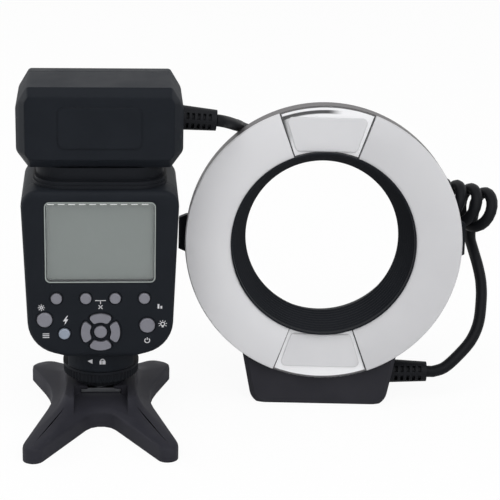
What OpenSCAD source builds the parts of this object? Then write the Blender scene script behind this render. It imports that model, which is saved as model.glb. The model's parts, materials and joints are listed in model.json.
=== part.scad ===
// Macro ring flash: a controller on a mini stand, a ring head and the curly cord between them.
// Millimetres, +Z up. The screen faces -Y and the ring head stands at +X.
// The origin is the mouth of the tripod socket under the stand.

/* [Controller body] */
// Width of the body at its deck
body_w_top = 72; // [69:0.5:78]
// Width of the body at its lower corners
body_w_low = 66.2; // [64:0.2:70]
// Height of the body from its underside to its deck
body_h = 81; // [80:0.5:90]
// Depth of the body from the screen face to the front face
body_d = 50; // [49:0.5:58]
// Distance of the screen face in front of the shoe axis
body_back = 25; // [23:0.5:28]
// Wall of the two body shells
body_wall = 2; // [1.6:0.1:2.4]
// Thickness of the screen face
panel_wall = 2.5; // [2:0.1:3]
// Radius of the lower corners
body_low_r = 16; // [12:0.5:18]
// Radius of the upper corners
body_top_r = 7.5; // [4:0.5:8]
// Width of the flat underside between the sloping edges
body_flat_w = 32; // [31.5:0.5:36]
// Rise of the sloping lower edge from the flat to the corner
body_low_rise = 4.5; // [3:0.5:7]
// Width of the soft edge round the screen face and the front face
body_edge = 2.6; // [1.5:0.1:3]
// Distance of the shell seam behind the screen face
seam_back = 14; // [12:0.5:14.5]
// Width of the assist lamp window in the front face
assist_w = 24; // [16:1:30]
// Height of the assist lamp window
assist_h = 14; // [8:1:18]
// Height of the assist lamp window's centre above the underside
assist_up = 62; // [58:1:66]
// Thickness of the assist lamp window
assist_t = 1.6; // [1.2:0.1:1.8]

/* [Screen and keys] */
// Width of the screen window
screen_w = 50.4; // [44:0.1:52]
// Height of the screen window
screen_h = 39; // [36:0.1:39.4]
// Height of the window's lower edge above the underside
screen_up = 37.1; // [36.8:0.1:37.6]
// Corner radius of the screen window
screen_r = 2.4; // [0.8:0.1:3]
// Thickness of the screen window
screen_t = 1.5; // [1.1:0.1:1.7]
// Width of the ledge that carries the screen window
screen_ledge = 0.9; // [0.6:0.1:1.4]
// Height of the sloping sill under the screen window
sill_h = 3.2; // [2:0.1:3.4]
// Depth of the sill at the window
sill_d = 0.8; // [0.4:0.1:1.2]
// Thickness of the display module behind the window
display_t = 4; // [3.8:0.1:5]
// Radius of the small keys
small_key_r = 2.55; // [2:0.05:3]
// Distance between neighbouring small keys
small_key_pitch = 13.4; // [12:0.1:14.5]
// Height of the small keys above the underside
small_key_up = 29.4; // [28.5:0.1:30.5]
// Radius of the mode key and the power key
large_key_r = 3.5; // [3:0.05:4]
// Distance of the mode key to the left of the middle
mode_key_x = 25.6; // [23:0.1:26]
// Height of the mode key above the underside
mode_key_up = 19; // [18.5:0.1:20.5]
// Distance of the power key to the right of the middle
power_key_x = 21.5; // [19.5:0.1:24]
// Height of the power key above the underside
power_key_up = 16; // [15:0.1:18]
// Radius of the pilot key
pilot_key_r = 2.6; // [2:0.05:2.8]
// Distance of the pilot key to the left of the middle
pilot_key_x = 16.6; // [15:0.1:18]
// Height of the pilot key above the underside
pilot_key_up = 12; // [11:0.1:12.5]
// Height of the round pad's centre above the underside
pad_up = 12.9; // [12.8:0.1:14]
// Outer radius of the arc keys
arc_key_r = 9; // [8.4:0.1:9]
// Inner radius of the arc keys
arc_key_in = 4.9; // [4.8:0.1:5.6]
// Half of the angle that an arc key covers
arc_key_half = 37; // [30:1:38]
// Radius of the arc keys' corners
arc_key_corner = 1.2; // [0.6:0.1:1.6]
// Radius of the set key in the middle of the pad
set_key_r = 2.95; // [2.5:0.05:3.2]
// How far the keys stand out of the screen face
key_proud = 0.9; // [0.6:0.1:1.5]
// Chamfer on the keys' outer edge
key_chamfer = 0.4; // [0.2:0.05:0.5]
// Travel of every key
key_travel = 0.6; // [0.4:0.1:0.8]
// Width of the stop flange behind a round key
key_flange = 0.8; // [0.5:0.1:1]
// Thickness of the stop flange
key_flange_t = 1; // [0.8:0.1:1.2]
// Thickness of the rubber key mat
mat_t = 1.5; // [1:0.1:1.6]
// Thickness of the main board
board_t = 1.6; // [1.2:0.1:2]

/* [Battery] */
// Diameter of one battery cell
cell_d = 14.2; // [13.5:0.1:14.5]
// Length of one battery cell
cell_len = 50.2; // [49:0.1:50.5]
// Height of the cells' middle above the underside
cell_up = 33.5; // [32:0.5:36]
// Wall of the battery tray
tray_wall = 1; // [0.8:0.1:1.2]
// Depth of the contact strips at the cells' inner ends
contact_t = 1.2; // [0.8:0.1:2]
// Thickness of the battery door
door_t = 2.2; // [1.8:0.1:2.6]
// How far the door reaches past the tray at its top
door_over = 9; // [6:0.5:10]
// Travel of the battery door
door_travel = 7; // [4:0.5:8]
// Depth of the tongues on the door's edges
door_tongue = 1; // [0.7:0.1:1.2]
// Number of thumb ridges on the door
door_ridges = 3; // [2:1:5]
// Distance between thumb ridges
door_ridge_pitch = 2.4; // [2:0.1:3]

/* [Neck and head] */
// Height of the neck between deck and head
neck_h = 9; // [8:0.5:12]
// Width of the neck
neck_w = 58.2; // [52:0.2:60]
// Depth of the neck
neck_d = 37; // [32:0.5:38]
// Width of the lower flange
flange_w = 61; // [60:0.5:66]
// Depth of the lower flange
flange_d = 44; // [40:0.5:44]
// Height of each flange step
flange_step = 1.6; // [1:0.1:2]
// Width that the upper flange step stands back
flange_back = 0.8; // [0.6:0.1:2]
// Corner radius of the lower flange
flange_r = 14; // [10:0.5:16]
// Width of the head at its widest
head_w = 74.9; // [73:0.1:80]
// Height of the head
head_h = 38; // [37:0.5:46]
// Width of the slant at the head's lower corners
head_low_w = 5.6; // [3:0.1:6]
// Height of the slant at the lower corners
head_low_h = 7.9; // [6:0.1:9]
// Width of the slant at the head's upper corners
head_top_w = 5.3; // [3:0.1:6]
// Height of the slant at the upper corners
head_top_h = 9; // [7:0.1:10]
// Share of the corner slants that is left on the back panel
head_panel_cut = 0.3; // [0.2:0.05:0.9]
// Depth of the head
head_d = 44; // [42:0.5:50]
// Distance of the head's back panel in front of the shoe axis
head_back = 24; // [22:0.5:26]
// Wall of the head shells
head_wall = 2; // [1.6:0.1:2.4]
// Distance of the head's seam behind the shoe axis
head_seam = 6.4; // [6.2:0.2:8]
// Depth of the chamfers beside the back panel
head_cham_d = 7; // [5:0.5:8]
// Width of the chamfers beside the back panel
head_cham_w = 4.3; // [3:0.1:5]
// Height of the bevel over the back panel
head_bevel = 3.6; // [2.5:0.1:4.5]
// Height of the undercut below the back panel
head_under = 5.5; // [4:0.5:7]
// Width of the raised bare panel on the head
plate_w = 37.2; // [30:0.2:42]
// Height of the raised bare panel
plate_h = 19; // [14:0.5:21]
// How far the bare panel stands out
plate_t = 0.5; // [0.3:0.1:0.8]
// Radius of the flash capacitor
cap_r = 12; // [10:0.5:13]
// Length of the flash capacitor
cap_len = 50; // [40:1:54]
// Thickness of the capacitor's cradle ribs
cradle_t = 3; // [2:0.5:5]

/* [Foot and wheel] */
// Width of the shoe foot
foot_w = 18.6; // [18.4:0.1:18.8]
// Length of the shoe foot
foot_len = 18; // [17:0.5:20]
// Thickness of the shoe foot
foot_t = 2; // [1.8:0.1:2.2]
// Radius of the stem above the foot
stem_r = 5; // [4:0.1:5.4]
// Depth of the stem's seat in the lock block
stem_in = 8; // [5:0.5:10]
// Radius of the lock wheel
wheel_r = 18; // [16.5:0.5:19]
// Height of the lock wheel's knurled disc
wheel_h = 5.4; // [4.6:0.1:6.4]
// Height of the smooth band above the knurls
wheel_band = 1.4; // [1:0.1:2]
// Number of knurls
wheel_knurls = 60; // [36:4:72]
// Depth of the knurls
wheel_knurl_d = 0.6; // [0.3:0.1:0.8]
// Radius of the wheel's pressure boss
boss_r = 12; // [10:0.5:14]
// Height of the pressure boss
boss_h = 4.2; // [3.2:0.1:5]
// Radius of the lock block's round front
block_r = 18; // [16.5:0.5:18]
// Width of the lock block
block_w = 31; // [28:0.5:31]
// Height of the lock block
block_h = 10.8; // [10.5:0.1:14]
// Radius of one shoe contact
contact_r = 0.9; // [0.6:0.1:1.1]
// How far the contacts stand out under the foot
contact_proud = 0.15; // [0.1:0.05:0.2]

/* [Stand] */
// Height of the stand at its shoe
saddle_h = 13; // [12:0.5:15]
// Height of the stand at the legs' ends
tip_h = 7.4; // [6.5:0.1:8]
// Height of the legs' upright walls
leg_wall_h = 5.6; // [5.4:0.1:6]
// Reach of the front legs from the shoe axis
leg_front = 67; // [60:0.5:72]
// Reach of the back legs from the shoe axis
leg_rear = 33; // [30:0.5:36]
// Half of the width over the front legs
leg_front_x = 36; // [34:0.5:38]
// Half of the width over the back legs
leg_rear_x = 35; // [33:0.5:38]
// Width of a front leg at its end
leg_w = 8; // [7.5:0.1:10]
// Half of the width at the waist
waist_x = 20.5; // [19.5:0.5:23]
// Radius of the curve at the waist
waist_r = 50; // [30:1:60]
// Distance of the waist in front of the shoe axis
waist_front = 8; // [4:0.5:12]
// Distance of the front notch's corner in front of the shoe axis
arch_front = 21; // [18:0.5:23]
// Radius of the front notch's crown
arch_r = 8; // [5:0.5:10]
// Distance of the rear notch's corner behind the shoe axis
arch_rear = 16; // [15:0.5:18]
// Radius of the rear notch's crown
rear_arch_r = 10; // [6:0.5:12]
// Half of the saddle's width
saddle_x = 17; // [16:0.5:18]
// Reach of the saddle in front of the shoe axis
saddle_front = 24; // [22:0.5:26]
// Reach of the saddle behind the shoe axis
saddle_rear = 17; // [16:0.5:20]
// Width of the open apron in front of the shoe
apron_w = 25; // [22:0.5:28]
// Wall of the stand
stand_wall = 2; // [1.6:0.1:2.4]
// Thickness of the shoe's lips over the foot
lip_t = 1.6; // [1.4:0.1:2]
// Width of the slot between the shoe's lips
throat_w = 12.6; // [12:0.1:13.5]
// Radius of the tripod socket
tripod_r = 3.175; // [3.1:0.025:3.3]
// Depth of the tripod socket
tripod_deep = 6; // [5:0.25:6.5]
// Radius of the brass bush
bush_r = 5; // [4.5:0.1:6]

/* [Ring head] */
// Distance of the ring's middle to the right of the shoe axis
ring_x = 105.1; // [105:0.1:125]
// Distance of the ring's front face behind the shoe axis at its middle
ring_y = -0.5; // [-8:0.5:6]
// Distance from the ring's axis down to the front of the sole
ring_drop = 80.3; // [79:0.1:86]
// Angle that the ring leans back
ring_lean = 8; // [4:0.5:14]
// Angle that the ring is turned to the camera's side
ring_turn = -4; // [-8:0.2:2]
// Outer radius of the ring
ring_r = 65.7; // [65:0.1:69]
// Radius of the tube's mouth at the front
mouth_r = 43.1; // [42.5:0.1:44]
// Radius of the clear hole at the back of the tube
clear_r = 36.9; // [35:0.1:38]
// Depth of the bezel ring from its lip to the back of its plate
bezel_d = 15; // [14:0.5:17]
// Wall of the bezel ring
bezel_wall = 1.6; // [1.4:0.1:2]
// Thickness of the plate inside the bezel ring
bezel_plate = 2; // [1.5:0.1:2.5]
// Thickness of the diffusers at their edges
pane_t = 2.2; // [1.8:0.1:2.6]
// Rise of the diffusers' crown
pane_crown = 1; // [0.4:0.1:1.6]
// Half of the angle of each flash window
flash_half = 19.9; // [16:0.1:24]
// Number of ridges on the tube's inside
tube_ridges = 9; // [5:1:12]
// Depth of the tube's ridges
tube_ridge_d = 0.5; // [0.3:0.1:0.8]
// Depth of the tube from the front face
tube_d = 20; // [19:0.5:21.5]
// Radius of the seat for lens adapters
seat_r = 40.5; // [39.5:0.1:41]
// Wall of the mount collar
collar_wall = 1.7; // [1.6:0.1:2.4]
// Length of the collar behind the rear cover
collar_out = 11; // [8:0.5:12]
// Thickness of the rear cover
cover_t = 1.8; // [1.5:0.1:2.4]
// Width that the rear cover draws in towards the back
cover_taper = 2; // [1:0.1:3]
// Radius of the rear cover's soft edge
cover_soft = 4; // [3:0.1:5]
// Radius of a flash tube
xenon_r = 2; // [1.5:0.1:2.5]
// Number of LED chips on each board
led_count = 14; // [8:1:20]

/* [Latches] */
// Thickness of a latch ring
latch_t = 1; // [0.8:0.1:1]
// Inner radius of a latch ring
latch_in = 47; // [46.8:0.1:48]
// Outer radius of a latch ring
latch_out = 54; // [52:0.5:56]
// Height of a release tab at the ring's wall
tab_h = 18; // [14:0.5:20]
// How far a release tab stands out of the ring
tab_proud = 3.5; // [3:0.1:5]
// Travel of a release tab
tab_travel = 2; // [1.2:0.1:2]
// Width of a claw
claw_w = 10; // [6:0.5:12]
// How far a claw reaches into the seat
claw_in = 0.7; // [0.4:0.1:0.9]

/* [Ring box] */
// Half width of the box where it meets the ring
box_top_x = 38.2; // [36:0.1:40]
// Half width of the box at its sole
box_low_x = 32; // [29:0.2:36]
// Depth of the box front behind the ring's front face
box_front_y = 6; // [4:0.5:8]
// Depth of the box from front to back
box_d = 28; // [26:0.5:34]
// Wall of the box
box_wall = 1.8; // [1.5:0.1:2.4]
// Radius of the box's lower corners
box_r = 8; // [5:0.5:10]
// Height over which the box widens from its sole to the ring
box_rise = 31; // [28:0.5:34]
// Distance of the box's board from the flanks
box_board_in = 6; // [4:0.5:10]
// Width of the box's soft edges
box_edge = 2; // [1:0.1:2.6]

/* [Cord] */
// Radius of the cord
cord_r = 2.8; // [2.6:0.05:2.9]
// Radius of a curl's centre line
curl_r = 7.2; // [7:0.1:7.4]
// Distance between neighbouring curls
curl_pitch = 7.4; // [7.3:0.05:7.8]
// Distance between curls where the cord bends away from the ring
curl_bend_pitch = 8.6; // [8.5:0.05:9]
// Growth of the curl radius over the last curls
curl_grow = 1.7; // [1:0.1:1.8]
// Slant of the last curl, as a share of its radius
curl_slant = 0.5; // [0:0.05:0.5]
// Length of the head's strain relief
relief_len = 15.8; // [12:0.2:20]
// Length of the ring's strain relief
ring_relief_len = 17.4; // [12:0.2:20]
// Radius of a strain relief at its root
relief_r = 5.7; // [5:0.1:5.9]
// Radius of a strain relief at its end
relief_end_r = 4.8; // [4.4:0.1:5]
// Number of slots in each row of a strain relief
relief_slots = 5; // [3:1:7]
// Half height of the web between a strain relief's rows
relief_web = 0.9; // [0.6:0.1:1.2]
// Height of a strain relief's slots
relief_slot_h = 2.7; // [2:0.1:2.8]
// Height of the strain relief above the head's underside
relief_up = 18.5; // [14:0.5:20]
// Angle that the head's strain relief points down
relief_dip = 5; // [0:0.5:8]

/* [Fits] */
// Gap between pieces that move past each other
gap = 0.3; // [0.25:0.05:0.4]
// Gap round a key in its hole
key_gap = 0.4; // [0.25:0.05:0.45]
// Gap round a pane in its seat
pane_gap = 0.1; // [0.05:0.05:0.2]
// Radial gap of the lock wheel on its stem
wheel_gap = 0.08; // [0.05:0.01:0.1]

/* [Hidden] */
$fn = 64;
far = 200;

// Heights, stacked from the floor up
lip_under = saddle_h - lip_t;
foot_top = lip_under - gap;
foot_z = foot_top - foot_t;
shoe_floor = foot_z - gap;
boss_z = saddle_h + gap;
wheel_z = boss_z + boss_h;
block_z = wheel_z + wheel_h + gap;
body_z = block_z + block_h;
deck_z = body_z + body_h;
head_z = deck_z + neck_h;
head_top = head_z + head_h;

// Depths of the body, from the screen face back
panel_y = -body_back;
panel_in = panel_y + panel_wall;
board_y = panel_in + display_t;
mat_y = board_y - mat_t;
seam_y = panel_y + seam_back;
front_y = panel_y + body_d;
key_flange_y = panel_in + gap;

// Side wall of the body, which leans out towards the deck
low_corner_z = body_z + body_low_rise;
side_tilt = atan((body_w_top - body_w_low) / 2 / (deck_z - low_corner_z));
function side_x(z) = body_w_low / 2 + (z - low_corner_z) * tan(side_tilt);

// Battery tray and door
tray_in = 2 * cell_d + 0.4;
tray_out = tray_in + 2 * tray_wall;
door_tuck = door_t + gap;
door_back = door_tuck + 2.5;
door_groove = door_tongue + gap;
tray_y = front_y - body_edge - gap - door_groove - tray_in / 2 - 0.2;
cell_z = body_z + cell_up;
tray_x1 = side_x(cell_z - tray_out / 2) - door_back / cos(side_tilt);
cell_x1 = tray_x1 - 0.6;
cell_x0 = cell_x1 - cell_len;
tray_x0 = cell_x0 - contact_t - tray_wall;
door_y0 = tray_y - tray_in / 2 - 0.2;
door_y1 = tray_y + tray_in / 2 + 0.2;
door_z0 = cell_z - tray_out / 2 - 1.5;
door_z1 = cell_z + tray_out / 2 + door_over;

// Ring head, from its front face back
ledge_y = pane_t + 0.4;
plate_y = bezel_d - bezel_plate;
claw_gap = 0.5;
latch_a_y = tube_d + 2;
latch_b_y = latch_a_y + latch_t + claw_gap;
cover_y = latch_b_y + latch_t + gap;
cover_out = cover_y + cover_t;
collar_r = seat_r + collar_wall;
collar_end = cover_out + collar_out;
seat_lip = 1.5;
seat_y = cover_y + 0.4;
claw_room = 1.3;
claw_step = 0.5;
ring_z = ring_drop * cos(ring_lean) + box_front_y * sin(ring_lean);
ring_at = [ring_x, ring_y, ring_z];
pane_in_r = mouth_r + 0.9;
pane_out_r = ring_r - 0.1;
flange_in_r = 48;

// Cord route. Points are in the ring's own frame: right, back, up.
curl_w = cover_out + 1.6 + gap + curl_r + cord_r;
curl_arc = collar_r + gap + curl_r + cord_r;
curl_from = 66;
curl_to = 32;
curl_bend = 28;
curl_slope = -15;
curl_run = 22;
curl_ramp = 1;
curl_ramp_pitch = 9;
curl_over = 0.28;
relief_at = [head_w / 2, 0, head_z + relief_up];
box_relief_z = -65.3;
box_relief_y = 15;
lead_mid = [
  [-46.3, -5.8, 57.8], [-44.4, 1.6, 56.2], [-42.9, 11.1, 54.5], [-41.9, 20.5, 52.9],
  [-39.7, 29.6, 50.5], [-36, 37, 48.2], [-30, 40, 47.1], [-20, 41, 49],
  [-8, 40, 51.5], [3, 38.9, 52.8]
];
tail_mid = [
  [79.3, 36, -20.5], [80, 33.5, -25.3], [80, 30, -32.1], [78.5, 24.5, -42.4],
  [74.7, 20.5, -50.5], [68.2, 17, -57.5], [61.6, 15.2, -63.2]
];
tail_from = [75.6, 45.6, -7];
tail_dir = [0.22, -0.62, -0.75];

// Vectors and outlines
function unit(v) = v / norm(v);
function across(a, b) = a[0] * b[1] - a[1] * b[0];

// Points of the arc that rounds corner b between a and c
function corner_arc(a, b, c, r, n) =
  let (
    ua = unit(a - b),
    uc = unit(c - b),
    half = acos(ua * uc) / 2,
    mid = b + unit(ua + uc) * r / sin(half),
    from = b + ua * r / tan(half) - mid,
    side = across(-ua, uc) > 0 ? 1 : -1,
    start = atan2(from[1], from[0])
  )
  [for (i = [0:n])
    let (turn = start + side * (180 - 2 * half) * i / n)
    mid + r * [cos(turn), sin(turn)]];

// A polygon with its corners rounded, one radius for each corner
function rounded(p, r, n = 7) =
  [for (i = [0:len(p) - 1])
    each (r[i] <= 0
      ? [p[i]]
      : corner_arc(p[(i + len(p) - 1) % len(p)], p[i], p[(i + 1) % len(p)], r[i], n))];

// Rounded rectangle with true arcs
module slab(w, d, r) {
  square([w - 2 * r, d], center = true);
  square([w, d - 2 * r], center = true);
  for (x = [-1, 1])
    for (y = [-1, 1])
      translate([x * (w / 2 - r), y * (d / 2 - r)])
        circle(r);
}

// A flat outline in X and Z, made into a plate from y back to y + t
module upright(y, t) {
  translate([0, y + t, 0])
    rotate([90, 0, 0])
      linear_extrude(t)
        children();
}

// A round bar along Y from y to y + t
module bar_y(x, y, z, r, t) {
  translate([x, y, z])
    rotate([-90, 0, 0])
      cylinder(r = r, h = t);
}

// Outline of the body, seen from the screen side, drawn in by d
function body_outline(d) =
  let (
    flat = body_flat_w / 2,
    low = body_w_low / 2 - d,
    top = body_w_top / 2 - d,
    z0 = body_z + d,
    z1 = low_corner_z + d,
    z2 = deck_z - d
  )
  rounded(
    [[-flat, z0], [flat, z0], [low, z1], [top, z2], [-top, z2], [-low, z1]],
    [0, 0, body_low_r - d, max(body_top_r - d, 1), max(body_top_r - d, 1), body_low_r - d]
  );

// A solid through flat outlines in X and Z. Each section is a depth and its outline.
module loft(sections) {
  n = len(sections[0][1]);
  last = len(sections) - 1;
  points = [for (s = sections) for (p = s[1]) [p[0], s[0], p[1]]];
  walls = [for (i = [0:last - 1]) for (j = [0:n - 1])
    [i * n + j, i * n + (j + 1) % n, (i + 1) * n + (j + 1) % n, (i + 1) * n + j]];
  polyhedron(points, concat(walls, [[for (j = [n - 1:-1:0]) j]], [[for (j = [0:n - 1]) last * n + j]]));
}

// Solid through closed outlines that lie round the axis like a star, closed by a fan at each end
module star_loft(sections) {
  n = len(sections[0][1]);
  last = len(sections) - 1;
  low = (last + 1) * n;
  rims = [for (s = sections) for (p = s[1]) [p[0], s[0], p[1]]];
  hubs = [[0, sections[0][0], 0], [0, sections[last][0], 0]];
  walls = [for (i = [0:last - 1]) for (j = [0:n - 1])
    let (a = i * n + j, b = i * n + (j + 1) % n)
    each [[a, b, b + n], [a, b + n, a + n]]];
  ends = [for (j = [0:n - 1])
    let (k = (j + 1) % n)
    each [[low, k, j], [low + 1, last * n + j, last * n + k]]];
  polyhedron(concat(rims, hubs), concat(walls, ends));
}

// Outline of the head, drawn in at its sides, at its foot and at its top, with a share of the slants
function head_outline(side, foot, top, cut = 1) =
  let (
    w = head_w / 2 - side,
    z0 = head_z + foot,
    z1 = head_top - top
  )
  rounded(
    [
      [-w + cut * head_low_w, z0], [w - cut * head_low_w, z0],
      [w, z0 + cut * head_low_h], [w, z1 - cut * head_top_h],
      [w - cut * head_top_w, z1], [-w + cut * head_top_w, z1],
      [-w, z1 - cut * head_top_h], [-w, z0 + cut * head_low_h]
    ],
    cut * [1.5, 1.5, 5, 7, 2, 2, 7, 5]
  );

// The deep front half of the body, solid
module front_form() {
  loft([
    [seam_y, body_outline(0)],
    for (a = [90:-22.5:0])
      [front_y - body_edge * (1 - cos(a)), body_outline(body_edge * (1 - sin(a)))]
  ]);
}

// Keys
module round_key(x, up, r, flange_r) {
  z = body_z + up;
  color("dimgray") {
    bar_y(x, panel_y - key_proud + key_chamfer, z, r, key_flange_y - panel_y + key_proud - key_chamfer);
    translate([x, panel_y - key_proud, z])
      rotate([-90, 0, 0])
        cylinder(r1 = r - key_chamfer, r2 = r, h = key_chamfer);
    bar_y(x, key_flange_y, z, flange_r, key_flange_t);
  }
}

module key_hole(x, up, r) {
  bar_y(x, panel_y - 1, body_z + up, r + key_gap, panel_wall + 2);
}

// Outline of an arc key, grown by d for its hole: a ring sector with rounded corners
module arc_outline(d) {
  outer = arc_key_r + d;
  inner = arc_key_in - d;
  mid = (outer + inner) / 2;
  half = arc_key_half + asin(d / mid);
  c = arc_key_corner;
  half_out = half - asin(c / (outer - c));
  half_in = half - asin(c / (inner + c));
  band(inner + c, outer - c, half);
  band(mid, outer, half_out);
  band(inner, mid, half_in);
  for (s = [-1, 1]) {
    rotate(s * half_out)
      translate([outer - c, 0])
        circle(c);
    rotate(s * half_in)
      translate([inner + c, 0])
        circle(c);
  }
}

// A ring sector from radius a to radius b, half an angle to each side of +X
module band(a, b, half) {
  intersection() {
    difference() {
      circle(b);
      circle(a);
    }
    polygon([[0, 0], 2 * b * [cos(half), -sin(half)], 2 * b * [cos(half), sin(half)]]);
  }
}

module arc_key(turn) {
  color("dimgray")
    translate([0, panel_y - key_proud, body_z + pad_up])
      rotate([-90, 0, 0])
        linear_extrude(key_flange_y - panel_y + key_proud + key_flange_t)
          rotate(turn)
            arc_outline(0);
}

module lamp_key() { round_key(-1.5 * small_key_pitch, small_key_up, small_key_r, small_key_r + key_flange); }
module clear_left_key() {
  round_key(-0.5 * small_key_pitch, small_key_up, small_key_r, small_key_r + key_flange);
}
module clear_right_key() {
  round_key(0.5 * small_key_pitch, small_key_up, small_key_r, small_key_r + key_flange);
}
module ratio_key() { round_key(1.5 * small_key_pitch, small_key_up, small_key_r, small_key_r + key_flange); }
module mode_key() { round_key(-mode_key_x, mode_key_up, large_key_r, large_key_r + key_flange); }
module power_key() { round_key(power_key_x, power_key_up, large_key_r, large_key_r + key_flange); }
module pilot_key() { round_key(-pilot_key_x, pilot_key_up, pilot_key_r, pilot_key_r + key_flange); }
module set_key() { round_key(0, pad_up, set_key_r, arc_key_in - gap); }
module up_key() { arc_key(-90); }
module down_key() { arc_key(90); }
module left_key() { arc_key(180); }
module right_key() { arc_key(0); }

// Half widths of the key mat and the main board, and the height of their slanting lower corners
mat_x = 27;
mat_low_x = 15;
mat_rise = 10;

// Places on the screen face where a post carries the main board
post_x = 29.2;
post_r = 1.6;
post_up = [39.5, 72.5];

// Rear shell: the screen face with its window seat and key holes, and the sides back to the seam
module rear_shell() {
  screen_z = body_z + screen_up + screen_h / 2;
  color("#26282d") {
    difference() {
      loft([
        for (a = [0:22.5:90])
          [panel_y + body_edge * (1 - cos(a)), body_outline(body_edge * (1 - sin(a)))],
        [seam_y, body_outline(0)]
      ]);
      loft([
        [panel_in, body_outline(body_wall + 1.6)],
        [panel_in + 1.6, body_outline(body_wall)],
        [seam_y + 1, body_outline(body_wall)]
      ]);
      translate([0, 0, screen_z])
        upright(panel_y - 1, screen_t + 1)
          slab(screen_w, screen_h, screen_r);
      translate([0, 0, screen_z])
        upright(panel_y - 1, panel_wall + 2)
          slab(screen_w - 2 * screen_ledge, screen_h - 2 * screen_ledge, screen_r / 2);
      translate([0, panel_y, body_z + screen_up])
        rotate([90, 0, 90])
          linear_extrude(screen_w - 2 * screen_r, center = true)
            polygon([[-1, 0.5], [sill_d, 0.5], [sill_d, 0], [0, -sill_h], [-1, -sill_h]]);
      for (i = [-1.5:1:1.5])
        key_hole(i * small_key_pitch, small_key_up, small_key_r);
      key_hole(-mode_key_x, mode_key_up, large_key_r);
      key_hole(power_key_x, power_key_up, large_key_r);
      key_hole(-pilot_key_x, pilot_key_up, pilot_key_r);
      key_hole(0, pad_up, set_key_r);
      for (turn = [0:90:270])
        translate([0, panel_y - 1, body_z + pad_up])
          rotate([-90, 0, 0])
            linear_extrude(panel_wall + 2)
              rotate(turn)
                arc_outline(key_gap);
    }
    for (x = [-1, 1])
      for (up = post_up)
        bar_y(x * post_x, panel_in, body_z + up, post_r, board_y - panel_in);
  }
}

module screen_window() {
  color("#9aa39f", 0.5)
    translate([0, 0, body_z + screen_up + screen_h / 2])
      upright(panel_y, screen_t)
        slab(screen_w - 2 * pane_gap, screen_h - 2 * pane_gap, screen_r);
}

module display_module() {
  color("#7c8683")
    translate([0, 0, body_z + screen_up + screen_h / 2])
      upright(panel_in, display_t)
        square([screen_w - 0.6, screen_h - 1.2], center = true);
}

module key_mat() {
  low = body_z + body_wall + body_edge + 1;
  high = body_z + small_key_up + small_key_r + 1.4;
  color("#3a3a3c")
    upright(mat_y, mat_t)
      polygon([
        [-mat_low_x, low], [mat_low_x, low], [mat_x, low + mat_rise],
        [mat_x, high], [-mat_x, high], [-mat_x, low + mat_rise]
      ]);
}

module main_board() {
  low = body_z + body_wall + body_edge + 1;
  color("#1f5a3a")
    upright(board_y, board_t)
      polygon([
        [-mat_low_x, low], [mat_low_x, low], [mat_x, low + mat_rise], [post_x + 2, body_z + post_up[0] - 3],
        [post_x + 2, body_z + post_up[1] + 2], [-post_x - 2, body_z + post_up[1] + 2],
        [-post_x - 2, body_z + post_up[0] - 3], [-mat_x, low + mat_rise]
      ]);
}

// Frame on the right side wall: x out of the wall, z up along it
module on_side() {
  translate([body_w_low / 2, 0, low_corner_z])
    rotate([0, side_tilt, 0])
      children();
}

// Front shell: a deep half with the door's slide way on its right side
module front_shell() {
  z0 = door_z0 - low_corner_z;
  z1 = door_z1 - low_corner_z;
  color("#26282d")
    difference() {
      union() {
        difference() {
          front_form();
          loft([
            [seam_y - 1, body_outline(body_wall)],
            [front_y - body_edge - body_wall, body_outline(body_wall)],
            [front_y - body_wall, body_outline(body_edge + body_wall)]
          ]);
        }
        intersection() {
          front_form();
          on_side()
            translate([-door_back, door_y0 - 3, -far])
              cube([door_back, door_y1 - door_y0 + 6, far + z1 + 3]);
        }
      }
      on_side()
        translate([-door_tuck, door_y0 - gap, -far])
          cube([far, door_y1 - door_y0 + 2 * gap, far + z1 + gap]);
      on_side()
        translate([-door_tuck, door_y0 - door_groove, -far])
          cube([door_t / 2 + gap, door_y1 - door_y0 + 2 * door_groove, far + z1 + gap]);
      translate([0, tray_y - tray_in / 2, cell_z - tray_in / 2])
        cube([far, tray_in, tray_in]);
      translate([0, 0, body_z + assist_up])
        upright(front_y - assist_t, assist_t + 1)
          slab(assist_w, assist_h, 2);
      translate([0, 0, body_z + assist_up])
        upright(front_y - 2 * body_wall, 2 * body_wall + 1)
          slab(assist_w - 3, assist_h - 3, 1);
    }
}

module assist_window() {
  color("#4a0f12")
    translate([0, 0, body_z + assist_up])
      upright(front_y - assist_t, assist_t)
        slab(assist_w - 2 * pane_gap, assist_h - 2 * pane_gap, 2);
}

module battery_tray() {
  color("#2d2d30")
    difference() {
      translate([tray_x0, tray_y - tray_out / 2, cell_z - tray_out / 2])
        cube([tray_x1 - tray_x0, tray_out, tray_out]);
      translate([tray_x0 + tray_wall, tray_y - tray_in / 2, cell_z - tray_in / 2])
        cube([far, tray_in, tray_in]);
    }
}

module battery_cells() {
  color("#4b5560")
    for (y = [-1, 1])
      for (z = [-1, 1])
        translate([cell_x0, tray_y + y * (cell_d / 2 + 0.1), cell_z + z * (cell_d / 2 + 0.1)])
          rotate([0, 90, 0])
            cylinder(r = cell_d / 2, h = cell_len);
}

module battery_contacts() {
  color("silver")
    for (z = [-1, 1])
      translate([tray_x0 + tray_wall, tray_y - tray_in / 2 + 2, cell_z + z * (cell_d / 2 + 0.1) - 4])
        cube([contact_t, tray_in - 4, 8]);
}

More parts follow.
